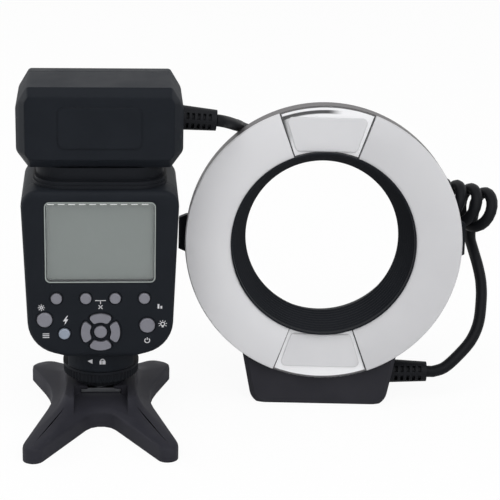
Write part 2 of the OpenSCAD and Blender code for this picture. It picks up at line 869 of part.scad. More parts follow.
// Battery door: a plate with tongues that run in the shell's grooves, and thumb ridges
module battery_door() {
  z0 = door_z0 - low_corner_z;
  z1 = door_z1 - low_corner_z;
  tongue_t = door_t / 2;
  ridge_top = z1 - 4;
  color("#2a2c31")
    on_side() {
      translate([-door_t, door_y0, z0])
        cube([door_t, door_y1 - door_y0, z1 - z0]);
      translate([-door_t, door_y0 - door_tongue, z0])
        cube([tongue_t, door_y1 - door_y0 + 2 * door_tongue, z1 - z0]);
      for (i = [0:door_ridges - 1])
        translate([0, (door_y0 + door_y1) / 2, ridge_top - i * door_ridge_pitch])
          rotate([90, 0, 0])
            cylinder(r = 0.7, h = door_y1 - door_y0 - 8, center = true);
    }
}

// Neck collar with a two-step flange on the deck and a way through for the wires
module neck_collar() {
  color("#1b1c20")
    difference() {
      union() {
        translate([0, 0, deck_z])
          linear_extrude(flange_step)
            slab(flange_w, flange_d, flange_r);
        translate([0, 0, deck_z])
          linear_extrude(2 * flange_step)
            slab(flange_w - 2 * flange_back, flange_d - 2 * flange_back, flange_r - flange_back);
        translate([0, 0, deck_z])
          linear_extrude(neck_h)
            slab(neck_w, neck_d, neck_d / 2 - 4);
      }
      translate([0, 0, deck_z - 1])
        linear_extrude(neck_h + 2)
          slab(neck_w / 2, neck_d / 2, 4);
    }
}

// Stub of the head's strain relief, which also cuts its hole
module relief_stub(r, from, to) {
  translate(relief_at)
    rotate([0, relief_dip, 0])
      translate([from, 0, 0])
        rotate([0, 90, 0])
          cylinder(r = r, h = to - from);
}

// Head, back half: flat back panel between chamfers, a bevel over it and an undercut below
module head_rear_shell() {
  back_y = -head_back;
  cham_left = 1 - head_bevel / head_cham_d;
  color("#24262b") {
    difference() {
      loft([
        [back_y, head_outline(head_cham_w, head_under, head_bevel, head_panel_cut)],
        [
          back_y + head_bevel,
          head_outline(head_cham_w * cham_left, head_under * cham_left, 0, 1 - cham_left * (1 - head_panel_cut))
        ],
        [back_y + head_cham_d, head_outline(0, 0, 0)],
        [head_seam, head_outline(0, 0, 0)]
      ]);
      loft([
        [back_y + head_wall, head_outline(head_cham_w + head_wall, head_under + head_wall, head_bevel + head_wall)],
        [back_y + head_cham_d + head_wall, head_outline(head_wall, head_wall, head_wall)],
        [head_seam + 1, head_outline(head_wall, head_wall, head_wall)]
      ]);
      relief_stub(cord_r + 1.3 + pane_gap, -2 * head_wall, 2 * head_wall);
    }
    translate([0, 0, (head_z + head_under + head_top - head_bevel) / 2 + 0.3])
      upright(back_y - plate_t, plate_t)
        slab(plate_w, plate_h, 3);
  }
}

module head_front_shell() {
  front = -head_back + head_d;
  inner = head_cham_w + head_wall;
  color("#24262b")
    difference() {
      loft([
        [head_seam, head_outline(0, 0, 0)],
        [front - head_cham_d, head_outline(0, 0, 0)],
        [front, head_outline(head_cham_w, head_cham_w, head_cham_w)]
      ]);
      loft([
        [head_seam - 1, head_outline(head_wall, head_wall, head_wall)],
        [front - head_cham_d - head_wall, head_outline(head_wall, head_wall, head_wall)],
        [front - head_wall, head_outline(inner, inner, inner)]
      ]);
    }
}

// Flash capacitor, lying across the head in a cradle with two ribs
cap_y = -3;
cradle_d = 16;
cap_z = head_z + head_wall + cap_r + 3;

module capacitor() {
  color("#20242c")
    translate([-cap_len / 2, cap_y, cap_z])
      rotate([0, 90, 0])
        cylinder(r = cap_r, h = cap_len);
}

module capacitor_cradle() {
  color("#3c3c40")
    difference() {
      union() {
        translate([-cap_len / 2 + 4, cap_y - cradle_d / 2, head_z + head_wall])
          cube([cap_len - 8, cradle_d, 1.5]);
        for (x = [-1, 1])
          translate([x * (cap_len / 2 - 8) - cradle_t / 2, cap_y - cradle_d / 2, head_z + head_wall])
            cube([cradle_t, cradle_d, cap_r]);
      }
      translate([-cap_len, cap_y, cap_z])
        rotate([0, 90, 0])
          cylinder(r = cap_r + pane_gap, h = 2 * cap_len);
    }
}

// Foot: a block under the body, a metal foot with a round stem, and the lock wheel on the stem
module lock_block() {
  color("#232529")
    difference() {
      intersection() {
        translate([0, 0, block_z])
          cylinder(r = block_r, h = block_h);
        translate([-block_w / 2, -far / 2, block_z])
          cube([block_w, far, block_h]);
      }
      translate([0, 0, block_z - 1])
        cylinder(r = stem_r, h = stem_in + 1);
    }
}

module shoe_foot() {
  color("silver") {
    translate([-foot_w / 2, -foot_len / 2, foot_z])
      cube([foot_w, foot_len, foot_t]);
    translate([0, 0, foot_top])
      cylinder(r = stem_r, h = block_z + stem_in - foot_top);
  }
}

module shoe_contacts() {
  color("gold")
    for (p = [[0, 0], [-4.4, -4], [4.4, -4], [-4.4, 4], [4.4, 4]])
      translate([p[0], p[1], foot_z - contact_proud])
        cylinder(r = contact_r, h = contact_proud);
}

module lock_wheel() {
  n = wheel_knurls;
  crest_r = wheel_r - 0.2;
  color("#1d1e22")
    difference() {
      union() {
        translate([0, 0, boss_z])
          cylinder(r = boss_r, h = boss_h);
        translate([0, 0, wheel_z])
          linear_extrude(wheel_h - wheel_band)
            polygon([for (i = [0:2 * n - 1])
              (crest_r - (i % 2) * wheel_knurl_d) * [cos(180 * i / n), sin(180 * i / n)]]);
        translate([0, 0, wheel_z + wheel_h - wheel_band])
          cylinder(r = wheel_r, h = wheel_band);
      }
      translate([0, 0, boss_z - 1])
        cylinder(r = stem_r + wheel_gap, h = boss_h + wheel_h + 2);
    }
}

// A closed outline drawn in by d
function drawn_in(p, d) =
  [for (i = [0:len(p) - 1])
    let (
      e = unit(p[i] - p[(i + len(p) - 1) % len(p)]),
      f = unit(p[(i + 1) % len(p)] - p[i]),
      n = [-e[1], e[0]],
      m = [-f[1], f[0]]
    )
    p[i] + d * (n + m) / (1 + n * m)];

// Corners of the stand's right half, right and front, from 0 on the floor to 1 at the saddle
function stand_half(s) =
  let (
    plan = [
      [leg_rear_x - 9, -leg_rear], [leg_rear_x, -leg_rear + 5], [waist_x, waist_front],
      [leg_front_x, leg_front - 3], [leg_front_x - leg_w, leg_front]
    ],
    top = [
      [saddle_x - 4, -saddle_rear], [saddle_x, -saddle_rear + 3], [saddle_x - 0.6, 6],
      [saddle_x, saddle_front - 3], [saddle_x - 4, saddle_front]
    ]
  )
  plan + s * (top - plan);

// Outline of the stand: four legs with a notch in front and one behind
function stand_outline(s, d = 0) =
  let (
    half = stand_half(s),
    rear = -arch_rear - s * (saddle_rear - 0.5 - arch_rear),
    front = arch_front + s * (saddle_front - 0.5 - arch_front),
    side = [6.5 - d, 4.8 - d, waist_r + d, 4.6 - d, 4.8 - d]
  )
  rounded(
    drawn_in(
      concat([[0, rear]], half, [[0, front]], [for (i = [4:-1:0]) [-half[i][0], half[i][1]]]),
      d
    ),
    concat([rear_arch_r + d], side, [arch_r + d], [for (i = [4:-1:0]) side[i]]),
    5
  );

// Heights of the stand's outlines with their share of the way to the saddle
stand_rise = saddle_h - tip_h;
stand_levels = [
  [0, 0], [leg_wall_h, 0], [tip_h - 0.6, 0.012], [tip_h, 0.05], [tip_h + 0.09 * stand_rise, 0.3],
  [tip_h + 0.2 * stand_rise, 0.58], [tip_h + 0.32 * stand_rise, 0.78], [tip_h + 0.54 * stand_rise, 0.9],
  [tip_h + 0.82 * stand_rise, 0.97], [saddle_h, 1]
];

// Stand: a hollow moulding with the shoe on top and a boss for the bush below
module stand_shell() {
  color("#202227")
    difference() {
      union() {
        difference() {
          rotate([90, 0, 0])
            star_loft([for (l = stand_levels) [l[0], stand_outline(l[1])]]);
          translate([0, 0, -1])
            linear_extrude(tip_h - stand_wall + 1)
              polygon([for (p = stand_outline(0, stand_wall)) [p[0], -p[1]]]);
        }
        cylinder(r = bush_r + stand_wall, h = tip_h - stand_wall / 2);
      }
      translate([-foot_w / 2 - gap, -far, shoe_floor])
        cube([foot_w + 2 * gap, far + foot_len / 2 + gap, lip_under - shoe_floor]);
      translate([-throat_w / 2, -far, shoe_floor])
        cube([throat_w, far + throat_w / 2, saddle_h]);
      translate([-apron_w / 2, -far, shoe_floor])
        cube([apron_w, far - foot_len / 2 - stand_wall, saddle_h]);
      translate([0, 0, -1])
        cylinder(r = bush_r, h = tripod_deep + 2);
    }
}

module tripod_bush() {
  color("goldenrod")
    difference() {
      cylinder(r = bush_r, h = tripod_deep + 1);
      translate([0, 0, -1])
        cylinder(r = tripod_r, h = tripod_deep + 1);
    }
}

// Frame of the ring: x to its right, y back along its axis, z up in its plane
module in_ring() {
  translate(ring_at)
    rotate([0, 0, ring_turn])
      rotate([-ring_lean, 0, 0])
        children();
}

// The same frame for points
function to_row(p) =
  let (
    y = p[1] * cos(ring_lean) + p[2] * sin(ring_lean),
    z = p[2] * cos(ring_lean) - p[1] * sin(ring_lean)
  )
  ring_at + [p[0] * cos(ring_turn) - y * sin(ring_turn), p[0] * sin(ring_turn) + y * cos(ring_turn), z];

// A body turned about the ring's axis, with its profile in radius and depth
module turned(profile) {
  in_ring()
    rotate([-90, 0, 0])
      rotate_extrude($fn = 128)
        polygon(profile);
}

// A sector of a turned body, from angle a to angle b, counted from the ring's right over its top
module sector(profile, a, b) {
  in_ring()
    rotate([-90, 0, 0])
      rotate([0, 0, -b])
        rotate_extrude(angle = b - a, $fn = 128)
          polygon(profile);
}

module ring_bezel() {
  color("#6f6e6d")
    turned([
      [ring_r, ledge_y], [ring_r, bezel_d], [flange_in_r - 2, bezel_d], [flange_in_r - 2, plate_y],
      [ring_r - bezel_wall, plate_y], [ring_r - bezel_wall, ledge_y]
    ]);
}

// Inner tube: a stepped funnel from the mouth to the clear hole
module ring_tube() {
  step = (tube_d - ledge_y) / tube_ridges;
  function funnel(y) = mouth_r + (clear_r - mouth_r) * (y - ledge_y) / (tube_d - ledge_y);
  color("#17181b")
    turned(concat(
      [[mouth_r, -0.4], [mouth_r, ledge_y]],
      [for (i = [1:tube_ridges]) each [
        [funnel(ledge_y + step * (i - 0.5)) + tube_ridge_d, ledge_y + step * (i - 0.5)],
        [funnel(ledge_y + step * i), ledge_y + step * i]
      ]],
      [
        [clear_r + 2.2, tube_d], [funnel(plate_y) + 2.2, plate_y], [flange_in_r, plate_y],
        [flange_in_r, plate_y - 1.5], [funnel(plate_y) + 3, plate_y - 1.5],
        [pane_in_r + 1.2, ledge_y + 1.6], [pane_in_r + 1.2, ledge_y],
        [pane_in_r - pane_gap, ledge_y], [pane_in_r - pane_gap, -0.4]
      ]
    ));
}

// Rear cover: outer wall behind the bezel, a soft edge and the back with its opening for the collar
module ring_rear_cover() {
  back_r = ring_r - cover_taper;
  soft = cover_soft;
  color("#1f2024")
    difference() {
      turned(concat(
        [[ring_r, bezel_d]],
        [for (a = [0:15:90]) [back_r - soft + soft * cos(a), cover_out - soft + soft * sin(a)]],
        [[collar_r + pane_gap, cover_out], [collar_r + pane_gap, cover_y]],
        [[back_r - soft, cover_y], [back_r - bezel_wall, cover_out - soft], [ring_r - bezel_wall, bezel_d]]
      ));
      in_ring()
        for (x = [-1, 1])
          translate([x * ring_r, (tab_y0 + cover_y) / 2 - gap / 2, 0])
            cube([20, cover_y - tab_y0 + gap, tab_h + 2 * gap], center = true);
    }
}

// Mount collar: the seat for a lens adapter, with a slot on each side for a claw
module mount_collar() {
  color("#2a2b2f")
    difference() {
      turned([
        [clear_r, tube_d], [clear_r, tube_d + seat_lip], [seat_r + claw_room, tube_d + seat_lip],
        [seat_r + claw_step, seat_y], [seat_r, seat_y], [seat_r, collar_end],
        [collar_r, collar_end], [collar_r, cover_out + 1.2], [collar_r + 3, cover_out + 1.2],
        [collar_r + 3, cover_out], [collar_r, cover_out], [collar_r, tube_d]
      ]);
      in_ring() {
        translate([0, latch_a_y - gap, -claw_w / 2 - gap])
          cube([far, latch_t + 2 * gap, claw_w + 2 * gap]);
        translate([-far, latch_b_y - gap, -claw_w / 2 - gap])
          cube([far, latch_t + 2 * gap, claw_w + 2 * gap]);
      }
    }
}

// Crowned half-ring pane
function pane_profile(crown) =
  concat(
    [[pane_in_r, ledge_y], [pane_in_r, ledge_y - pane_t]],
    [for (i = [1:7])
      [pane_in_r + (pane_out_r - pane_in_r) * i / 8, ledge_y - pane_t - crown * sin(180 * i / 8)]],
    [[pane_out_r - 0.5, ledge_y - pane_t], [pane_out_r, ledge_y - pane_t + 0.7], [pane_out_r, ledge_y]]
  );

pane_slip = 0.3;

module diffuser_right() {
  color("#c2c2c6")
    sector(pane_profile(pane_crown), -90 + flash_half + pane_slip, 90 - flash_half - pane_slip);
}

module diffuser_left() {
  color("#c2c2c6")
    sector(pane_profile(pane_crown), 90 + flash_half + pane_slip, 270 - flash_half - pane_slip);
}

module flash_lenses() {
  color("#dfe3e6", 0.5)
    for (a = [90, 270])
      sector(pane_profile(0.3), a - flash_half, a + flash_half);
}

// Reflectors: a sector block with a round trough across it, and holes for the flash tube
reflector_out = ring_r - bezel_wall - 0.3;
trough_mid = (pane_in_r + reflector_out + 1.5) / 2;
trough_r = 8.4;
reflector_half = flash_half - 0.6;
xenon_y = ledge_y + 5;

module reflectors() {
  color("#cfd2d6")
    for (s = [-1, 1])
      difference() {
        sector(
          [
            [pane_in_r + 1.6, ledge_y], [pane_in_r + 1.6, ledge_y + 3], [flange_in_r + 0.3, ledge_y + 6],
            [flange_in_r + 0.3, plate_y], [reflector_out, plate_y], [reflector_out, ledge_y]
          ],
          s * 90 - reflector_half, s * 90 + reflector_half
        );
        in_ring()
          translate([0, ledge_y, s * trough_mid])
            rotate([0, 90, 0])
              cylinder(r = trough_r, h = 2 * trough_mid * tan(reflector_half) - 5, center = true);
        in_ring()
          translate([0, xenon_y, s * trough_mid])
            rotate([0, 90, 0])
              cylinder(r = xenon_r + pane_gap, h = far, center = true);
      }
}

module flash_tubes() {
  color("#e8f0f2", 0.6)
    in_ring()
      for (s = [-1, 1])
        translate([0, xenon_y, s * trough_mid])
          rotate([0, 90, 0])
            cylinder(r = xenon_r, h = 2 * trough_mid * tan(reflector_half) - 2, center = true);
}

led_t = 1.2;

module led_boards() {
  half = flash_half + 3;
  outer = ring_r - bezel_wall - 0.4;
  inner = flange_in_r + 0.4;
  profile = [[inner, plate_y - led_t], [inner, plate_y], [outer, plate_y], [outer, plate_y - led_t]];
  color("#e6e6e2") {
    sector(profile, -90 + half, 90 - half);
    sector(profile, 90 + half, 270 - half);
  }
}

module led_chips() {
  half = flash_half + 8;
  color("#f3e08a")
    in_ring()
      for (side = [0, 180])
        for (i = [0:led_count - 1])
          rotate([0, side - 90 + half + (180 - 2 * half) * i / (led_count - 1), 0])
            translate([trough_mid + 1.2, plate_y - led_t - 0.4, 0])
              cube([3.5, 0.8, 2.8], center = true);
}

// Latches: each ring carries its tab on one side and its claw on the other
tab_y0 = cover_y - gap - 5;

module latch_ring(y, side) {
  color("#a8abb0")
    in_ring()
      difference() {
        union() {
          translate([0, y, 0])
            rotate([-90, 0, 0])
              cylinder(r = latch_out, h = latch_t);
          translate([side > 0 ? -latch_in - 2 : seat_r - claw_in, y, -claw_w / 2])
            cube([latch_in + 2 - seat_r + claw_in, latch_t, claw_w]);
        }
        difference() {
          translate([0, y - 1, 0])
            rotate([-90, 0, 0])
              cylinder(r = latch_in, h = latch_t + 2);
          translate([side > 0 ? -latch_in - 2 : seat_r - claw_in, y - 2, -claw_w / 2])
            cube([latch_in + 2 - seat_r + claw_in, latch_t + 4, claw_w]);
        }
      }
}

module latch_ring_left() { latch_ring(latch_a_y, -1); }
module latch_ring_right() { latch_ring(latch_b_y, 1); }

// Release tab: a block in the wall's opening, on a tongue that ends at the latch ring's rim
module release_tab(y, side) {
  root = latch_out + 2 * tab_travel + claw_gap;
  tip = ring_r + tab_proud;
  h = tab_h / 2;
  color("#1a1b1f")
    in_ring() {
      upright(tab_y0, cover_y - gap - tab_y0)
        polygon([
          [side * root, -h], [side * ring_r, -h], [side * tip, -h + 1.5],
          [side * tip, h - 1.5], [side * ring_r, h], [side * root, h]
        ]);
      difference() {
        upright(y, latch_t)
          polygon([
            [side * (latch_out - 2), -h], [side * (root + 1), -h],
            [side * (root + 1), h], [side * (latch_out - 2), h]
          ]);
        bar_y(0, y - 1, 0, latch_out, latch_t + 2);
      }
    }
}

module release_tab_left() { release_tab(latch_a_y, -1); }
module release_tab_right() { release_tab(latch_b_y, 1); }

// Box under the ring, as an outline in the ring's plane. The floor cuts its sole flat.
box_low = -ring_drop - 1;

function box_shape(d) =
  let (
    low = box_low + d,
    foot = box_low_x - d,
    top = box_top_x - d
  )
  rounded(
    [[-foot, low], [foot, low], [top, box_low + box_rise], [-top, box_low + box_rise]],
    [box_r - d, box_r - d, 0, 0]
  );

box_split = box_front_y + box_d / 2;
box_rear_y = box_front_y + box_d;

// Everything of the box that lies outside the ring's round wall, less d
module box_trim(d) {
  rotate([-90, 0, 0])
    cylinder(r = ring_r + 0.05 + d, h = far, center = true, $fn = 128);
}

// The floor, seen from the ring's frame
module box_floor(d) {
  rotate([ring_lean, 0, 0])
    translate([-far, -far, -ring_z - far + d])
      cube([2 * far, 2 * far, far]);
}

module box_half(a, b, edge_at_a) {
  ea = edge_at_a ? box_edge : 0;
  eb = edge_at_a ? 0 : box_edge;
  in_a = edge_at_a ? box_wall : -1;
  in_b = edge_at_a ? -1 : box_wall;
  difference() {
    loft(edge_at_a
      ? [[a, box_shape(ea)], [a + ea, box_shape(0)], [b, box_shape(0)]]
      : [[a, box_shape(0)], [b - eb, box_shape(0)], [b, box_shape(eb)]]);
    difference() {
      loft([[a + in_a, box_shape(box_wall + ea / 2)], [b - in_b, box_shape(box_wall + eb / 2)]]);
      box_trim(box_wall);
      box_floor(box_wall);
    }
    box_trim(0);
    box_floor(0);
  }
}

module box_front() {
  color("#2b2d32")
    in_ring()
      box_half(box_front_y, box_split, true);
}

module box_rear() {
  color("#2b2d32")
    in_ring()
      box_half(box_split, box_rear_y, false);
}

// The board stands on the sole's inside and ends under the ring's wall
module box_board() {
  low = -ring_drop + (box_d / 2 + board_t / 2) * tan(ring_lean) + box_wall / cos(ring_lean);
  high = -ring_r - 0.05 - box_wall - gap;
  color("#1f5a3a")
    in_ring()
      translate([-box_low_x + box_board_in, box_split - board_t / 2, low])
        cube([2 * (box_low_x - box_board_in), board_t, high - low]);
}

// Strain relief: a cone with two rows of slots and a hole for the cord, along +X from its root
module relief_form(len) {
  pitch = (len - 4) / relief_slots;
  difference() {
    rotate([0, 90, 0])
      cylinder(r1 = relief_r, r2 = relief_end_r, h = len);
    for (i = [0:relief_slots - 1])
      for (s = [-1, 1])
        translate([2 + pitch * (i + 0.25), -relief_r, s > 0 ? relief_web : -relief_web - relief_slot_h])
          difference() {
            cube([pitch * 0.5, 2 * relief_r, relief_slot_h]);
            translate([-1, relief_r, s > 0 ? -relief_web : relief_web + relief_slot_h])
              rotate([0, 90, 0])
                cylinder(r = cord_r + 1, h = pitch + 2);
          }
  }
}

module head_relief() {
  color("#202226") {
    difference() {
      translate(relief_at)
        rotate([0, relief_dip, 0])
          translate([-1, 0, 0])
            relief_form(relief_len + 1);
      translate([relief_at[0] - far, -far / 2, 0])
        cube([far, far, far]);
    }
    relief_stub(cord_r + 1.3, -head_wall - 1, 1.5);
  }
}

box_relief_x = box_low_x + (box_top_x - box_low_x) * (box_relief_z - box_low) / box_rise;

module ring_relief() {
  color("#202226")
    in_ring()
      difference() {
        translate([box_relief_x - 1, box_relief_y, box_relief_z])
          relief_form(ring_relief_len + 1);
        box_side_cut();
      }
}

// The box's right flank, extended into a block that trims what sits on it
module box_side_cut() {
  upright(box_front_y - 5, box_d + 10)
    polygon([[0, box_low], [box_low_x, box_low], [box_top_x, box_low + box_rise], [0, box_low + box_rise]]);
}

// Cord. One tube is swept along a list of points with a frame carried from ring to ring.
function tangents(p) =
  [for (i = [0:len(p) - 1]) unit(p[min(i + 1, len(p) - 1)] - p[max(i - 1, 0)])];
function flattened(n, t) = unit(n - (n * t) * t);
function carried(t, first) =
  [for (i = 0, n = flattened(first, t[0]); i < len(t); i = i + 1, n = i < len(t) ? flattened(n, t[i]) : n) n];

module tube(p, r, sides, first) {
  t = tangents(p);
  n = carried(t, first);
  last = len(p) - 1;
  points = [for (i = [0:last]) for (j = [0:sides - 1])
    p[i] + r * (cos(360 * j / sides) * n[i] + sin(360 * j / sides) * cross(t[i], n[i]))];
  walls = [for (i = [0:last - 1]) for (j = [0:sides - 1])
    let (a = i * sides + j, b = i * sides + (j + 1) % sides)
    each [[a, b + sides, b], [a, a + sides, b + sides]]];
  ends = [for (j = [1:sides - 2])
    each [[0, j, j + 1], [last * sides, last * sides + j + 1, last * sides + j]]];
  polyhedron(points, concat(walls, ends));
}

// Smooth points through a list, with n steps between neighbours
function through(p, n) =
  [for (i = [0:len(p) - 2])
    let (a = p[max(i - 1, 0)], b = p[i], c = p[i + 1], d = p[min(i + 2, len(p) - 1)])
    each [for (k = [0:(i == len(p) - 2 ? n : n - 1)])
      let (s = k / n)
      b + s * ((c - a) / 2
        + s * ((a - 2.5 * b + 2 * c - 0.5 * d) + s * (1.5 * b - 0.5 * a - 1.5 * c + 0.5 * d)))]];

// Axis of the curls in the ring's frame: over the collar, then bending away to the right
arc_len = curl_arc * (curl_from - curl_to) * PI / 180;
bend_turn = curl_slope - (curl_to - 90);
bend_len = curl_bend * bend_turn * PI / 180;
bend_mid = (curl_arc + curl_bend) * [cos(curl_to), sin(curl_to)];
bend_end = bend_mid - curl_bend * [-sin(curl_slope), cos(curl_slope)];

// Heading of the axis, in degrees, at length s
function axis_heading(s) =
  s <= 0 ? curl_from - 90 :
  s <= arc_len ? curl_from - 90 - s / curl_arc * 180 / PI :
  s <= arc_len + bend_len ? curl_to - 90 + (s - arc_len) / curl_bend * 180 / PI :
  curl_slope;

// Place of the axis, right and up, at length s
function axis_place(s) =
  let (h = axis_heading(s), left = [-sin(h), cos(h)])
  s <= 0 ? curl_arc * left + s * [cos(h), sin(h)] :
  s <= arc_len ? curl_arc * left :
  s <= arc_len + bend_len ? bend_mid - curl_bend * left :
  bend_end + (s - arc_len - bend_len) * [cos(h), sin(h)];

// Length of the axis after t curls: a long first curl, then the arc, the bend and the straight run
ramp_len = curl_ramp * curl_ramp_pitch;
arc_turns = (arc_len - ramp_len) / curl_pitch;
bend_turns = bend_len / curl_bend_pitch;
run_turns = curl_run / curl_pitch;
whole_turns = floor(curl_ramp + arc_turns + bend_turns + run_turns);
curl_turns = whole_turns + curl_over;

function axis_len(t) =
  t <= curl_ramp ? t * curl_ramp_pitch :
  t <= curl_ramp + arc_turns ? ramp_len + (t - curl_ramp) * curl_pitch :
  t <= curl_ramp + arc_turns + bend_turns ? arc_len + (t - curl_ramp - arc_turns) * curl_bend_pitch :
  arc_len + bend_len + (t - curl_ramp - arc_turns - bend_turns) * curl_pitch;

function swell(x) = x <= 0 ? 0 : x >= 1 ? 1 : x * x * (3 - 2 * x);

// A point of the cord after t curls
function curl_point(t) =
  let (
    s = axis_len(t),
    h = axis_heading(s),
    at = axis_place(s),
    r = curl_r * swell(t / curl_ramp) + curl_grow * swell((t - whole_turns + 4) / 3),
    along = curl_slant * t / whole_turns * r * sin(360 * t),
    out = at + r * cos(360 * t) * [-sin(h), cos(h)] - along * [cos(h), sin(h)]
  )
  [out[0], curl_w + r * sin(360 * t), out[1]];

// The curls with n points a curl, their straight start and the turn into the tail
function curl_line(n) =
  let (
    end = curl_point(curl_turns),
    going = unit(end - curl_point(curl_turns - 0.02)),
    reach = 17,
    steps = round(n * curl_turns),
    head = axis_place(-2 * cord_r)
  )
  concat(
    [[head[0], curl_w, head[1]]],
    [for (i = [0:steps]) curl_point(curl_turns * i / steps)],
    [for (k = [1:n])
      let (s = k / n)
      (2 * s * s * s - 3 * s * s + 1) * end + (s * s * s - 2 * s * s + s) * reach * going
      + (3 * s * s - 2 * s * s * s) * tail_from + (s * s * s - s * s) * reach * unit(tail_dir)],
    [tail_from + 2 * cord_r * unit(tail_dir)]
  );

// Route of each stretch in the row's frame
function relief_mouth() = relief_at + relief_len * [cos(relief_dip), 0, -sin(relief_dip)];
function lead_line() =
  let (
    start = relief_mouth(),
    dir = [cos(relief_dip), 0, -sin(relief_dip)],
    line = [for (p = curl_line(8)) to_row(p)],
    last = line[0] - 2 * cord_r * unit(line[1] - line[0])
  )
  concat(
    [start],
    through(concat([start + 1.2 * cord_r * dir], [for (p = lead_mid) to_row(p)], [last]), 2),
    [line[0]]
  );
function tail_line() =
  let (
    from = tail_from + 2 * cord_r * unit(tail_dir),
    mouth = [box_relief_x + ring_relief_len, box_relief_y, box_relief_z],
    last = mouth + [1.2 * cord_r, 0, 0]
  )
  [for (p = concat(
    [from],
    through(concat([from + 2 * cord_r * unit(tail_dir)], tail_mid, [last]), 2),
    [mouth]
  )) to_row(p)];

module cord_head_lead() {
  color("#1b1d20")
    tube(lead_line(), cord_r, 8, [0, 0, 1]);
}

module cord_curls() {
  color("#1b1d20")
    tube([for (p = curl_line(8)) to_row(p)], cord_r, 6, [0, 0, 1]);
}

module cord_ring_lead() {
  color("#1b1d20")
    tube(tail_line(), cord_r, 8, [0, 1, 0]);
}

// Least gap of the curls to themselves and the cord's length, measured on fine points
fine = 24;
fine_line = curl_line(fine);
function line_len(p) =
  [for (i = 0, s = 0; i < len(p); i = i + 1, s = i < len(p) ? s + norm(p[i] - p[i - 1]) : s) s];
least_gap = min([for (i = [0:len(fine_line) - 1])
  each [for (j = [i + round(fine * 0.55):min(i + 2 * fine, len(fine_line) - 1)])
    norm(fine_line[i] - fine_line[j])]]) - 2 * cord_r;
curl_length = max(line_len(fine_line));
echo("Least gap of the curls to themselves, mm", least_gap);
lead_length = max(line_len(lead_line()));
tail_length = max(line_len(tail_line()));
echo("Length of cord in the curls, the head lead and the ring lead, mm",
  curl_length, lead_length, tail_length);
echo("Curls", curl_turns);

rear_shell();
front_shell();
screen_window();
display_module();
key_mat();
main_board();
lamp_key();
clear_left_key();
clear_right_key();
ratio_key();
mode_key();
power_key();
pilot_key();
set_key();
up_key();
down_key();
left_key();
right_key();
battery_tray();
battery_cells();
battery_contacts();
battery_door();
assist_window();
neck_collar();
head_rear_shell();
head_front_shell();
capacitor();
capacitor_cradle();
lock_block();
shoe_foot();
shoe_contacts();
lock_wheel();
stand_shell();
tripod_bush();
ring_bezel();
ring_tube();
ring_rear_cover();
mount_collar();
diffuser_left();
diffuser_right();
flash_lenses();
reflectors();
flash_tubes();
led_boards();
led_chips();
latch_ring_left();
latch_ring_right();
release_tab_left();
release_tab_right();
box_front();
box_rear();
box_board();
head_relief();
ring_relief();
cord_head_lead();
cord_curls();
cord_ring_lead();
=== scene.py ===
# %% [markdown]
# # A macro ring flash on its mini stand
# The imported CAD model is the frame: every piece made here is in metres, in the same place as its
# solid, and rides on one of the frame's bodies. The frame is loaded first.

# %% Load the frame
import json
import math

import bmesh
import bpy
from mathutils import Matrix, Vector


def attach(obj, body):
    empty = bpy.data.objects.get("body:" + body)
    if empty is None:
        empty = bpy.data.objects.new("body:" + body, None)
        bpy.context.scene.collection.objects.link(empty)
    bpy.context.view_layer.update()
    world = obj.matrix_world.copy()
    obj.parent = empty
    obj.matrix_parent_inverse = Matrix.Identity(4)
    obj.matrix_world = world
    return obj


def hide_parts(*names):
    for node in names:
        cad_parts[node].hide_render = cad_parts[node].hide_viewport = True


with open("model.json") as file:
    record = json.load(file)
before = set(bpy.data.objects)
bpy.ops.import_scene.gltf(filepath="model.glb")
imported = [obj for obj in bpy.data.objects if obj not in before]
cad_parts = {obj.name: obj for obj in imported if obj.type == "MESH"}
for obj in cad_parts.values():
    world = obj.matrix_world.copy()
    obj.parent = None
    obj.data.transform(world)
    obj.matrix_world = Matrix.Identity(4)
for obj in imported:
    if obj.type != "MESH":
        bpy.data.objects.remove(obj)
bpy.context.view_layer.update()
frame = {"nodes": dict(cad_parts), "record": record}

MM = 0.001


def placed(name, data):
    """A new object that shows data, linked to the scene."""
    thing = bpy.data.objects.new(name, data)
    bpy.context.scene.collection.objects.link(thing)
    return thing


# %% [markdown]
# ## Camera
# The photo was taken with a long lens, a little from above. A camera that stands about 0.85 m from
# the object and looks down by 20 degrees puts the controller and the ring where the photo has them.
# The matrix is built from the view direction, so the small roll of the photo is one more angle.

# %% Camera
IMAGE_PX = 500
FOCAL_PX = 1817
SENSOR_MM = 36
NEAR_CLIP = 0.01
EYE = Vector((4, -800, 376)) * MM
YAW, PITCH, ROLL = (math.radians(a) for a in (4.732, 20.39, 1.5))

forward = Vector((
    math.sin(YAW) * math.cos(PITCH),
    math.cos(YAW) * math.cos(PITCH),
    -math.sin(PITCH),
))
level = Vector((math.cos(YAW), -math.sin(YAW), 0))
upward = level.cross(forward)
cam_x = level * math.cos(ROLL) + upward * math.sin(ROLL)
cam_y = upward * math.cos(ROLL) - level * math.sin(ROLL)
cam_turned = Matrix((cam_x, cam_y, -forward)).transposed().to_4x4()

camera = placed("camera", bpy.data.cameras.new("camera"))
camera.matrix_world = Matrix.Translation(EYE) @ cam_turned
camera.data.sensor_width = SENSOR_MM
camera.data.lens = FOCAL_PX * SENSOR_MM / IMAGE_PX
camera.data.clip_start = NEAR_CLIP
bpy.context.scene.camera = camera
print("Lens in mm:", round(camera.data.lens, 1))

# %% [markdown]
# ## Frame of the ring head
# The ring leans back and is turned a little, so its pieces are easiest to think of in its own
# frame: u to its right, w back along its axis and v up in its plane. It stands on the lower front
# edge of the box under it, which gives its height. One function takes such a point, in
# millimetres, to the shared frame in metres.

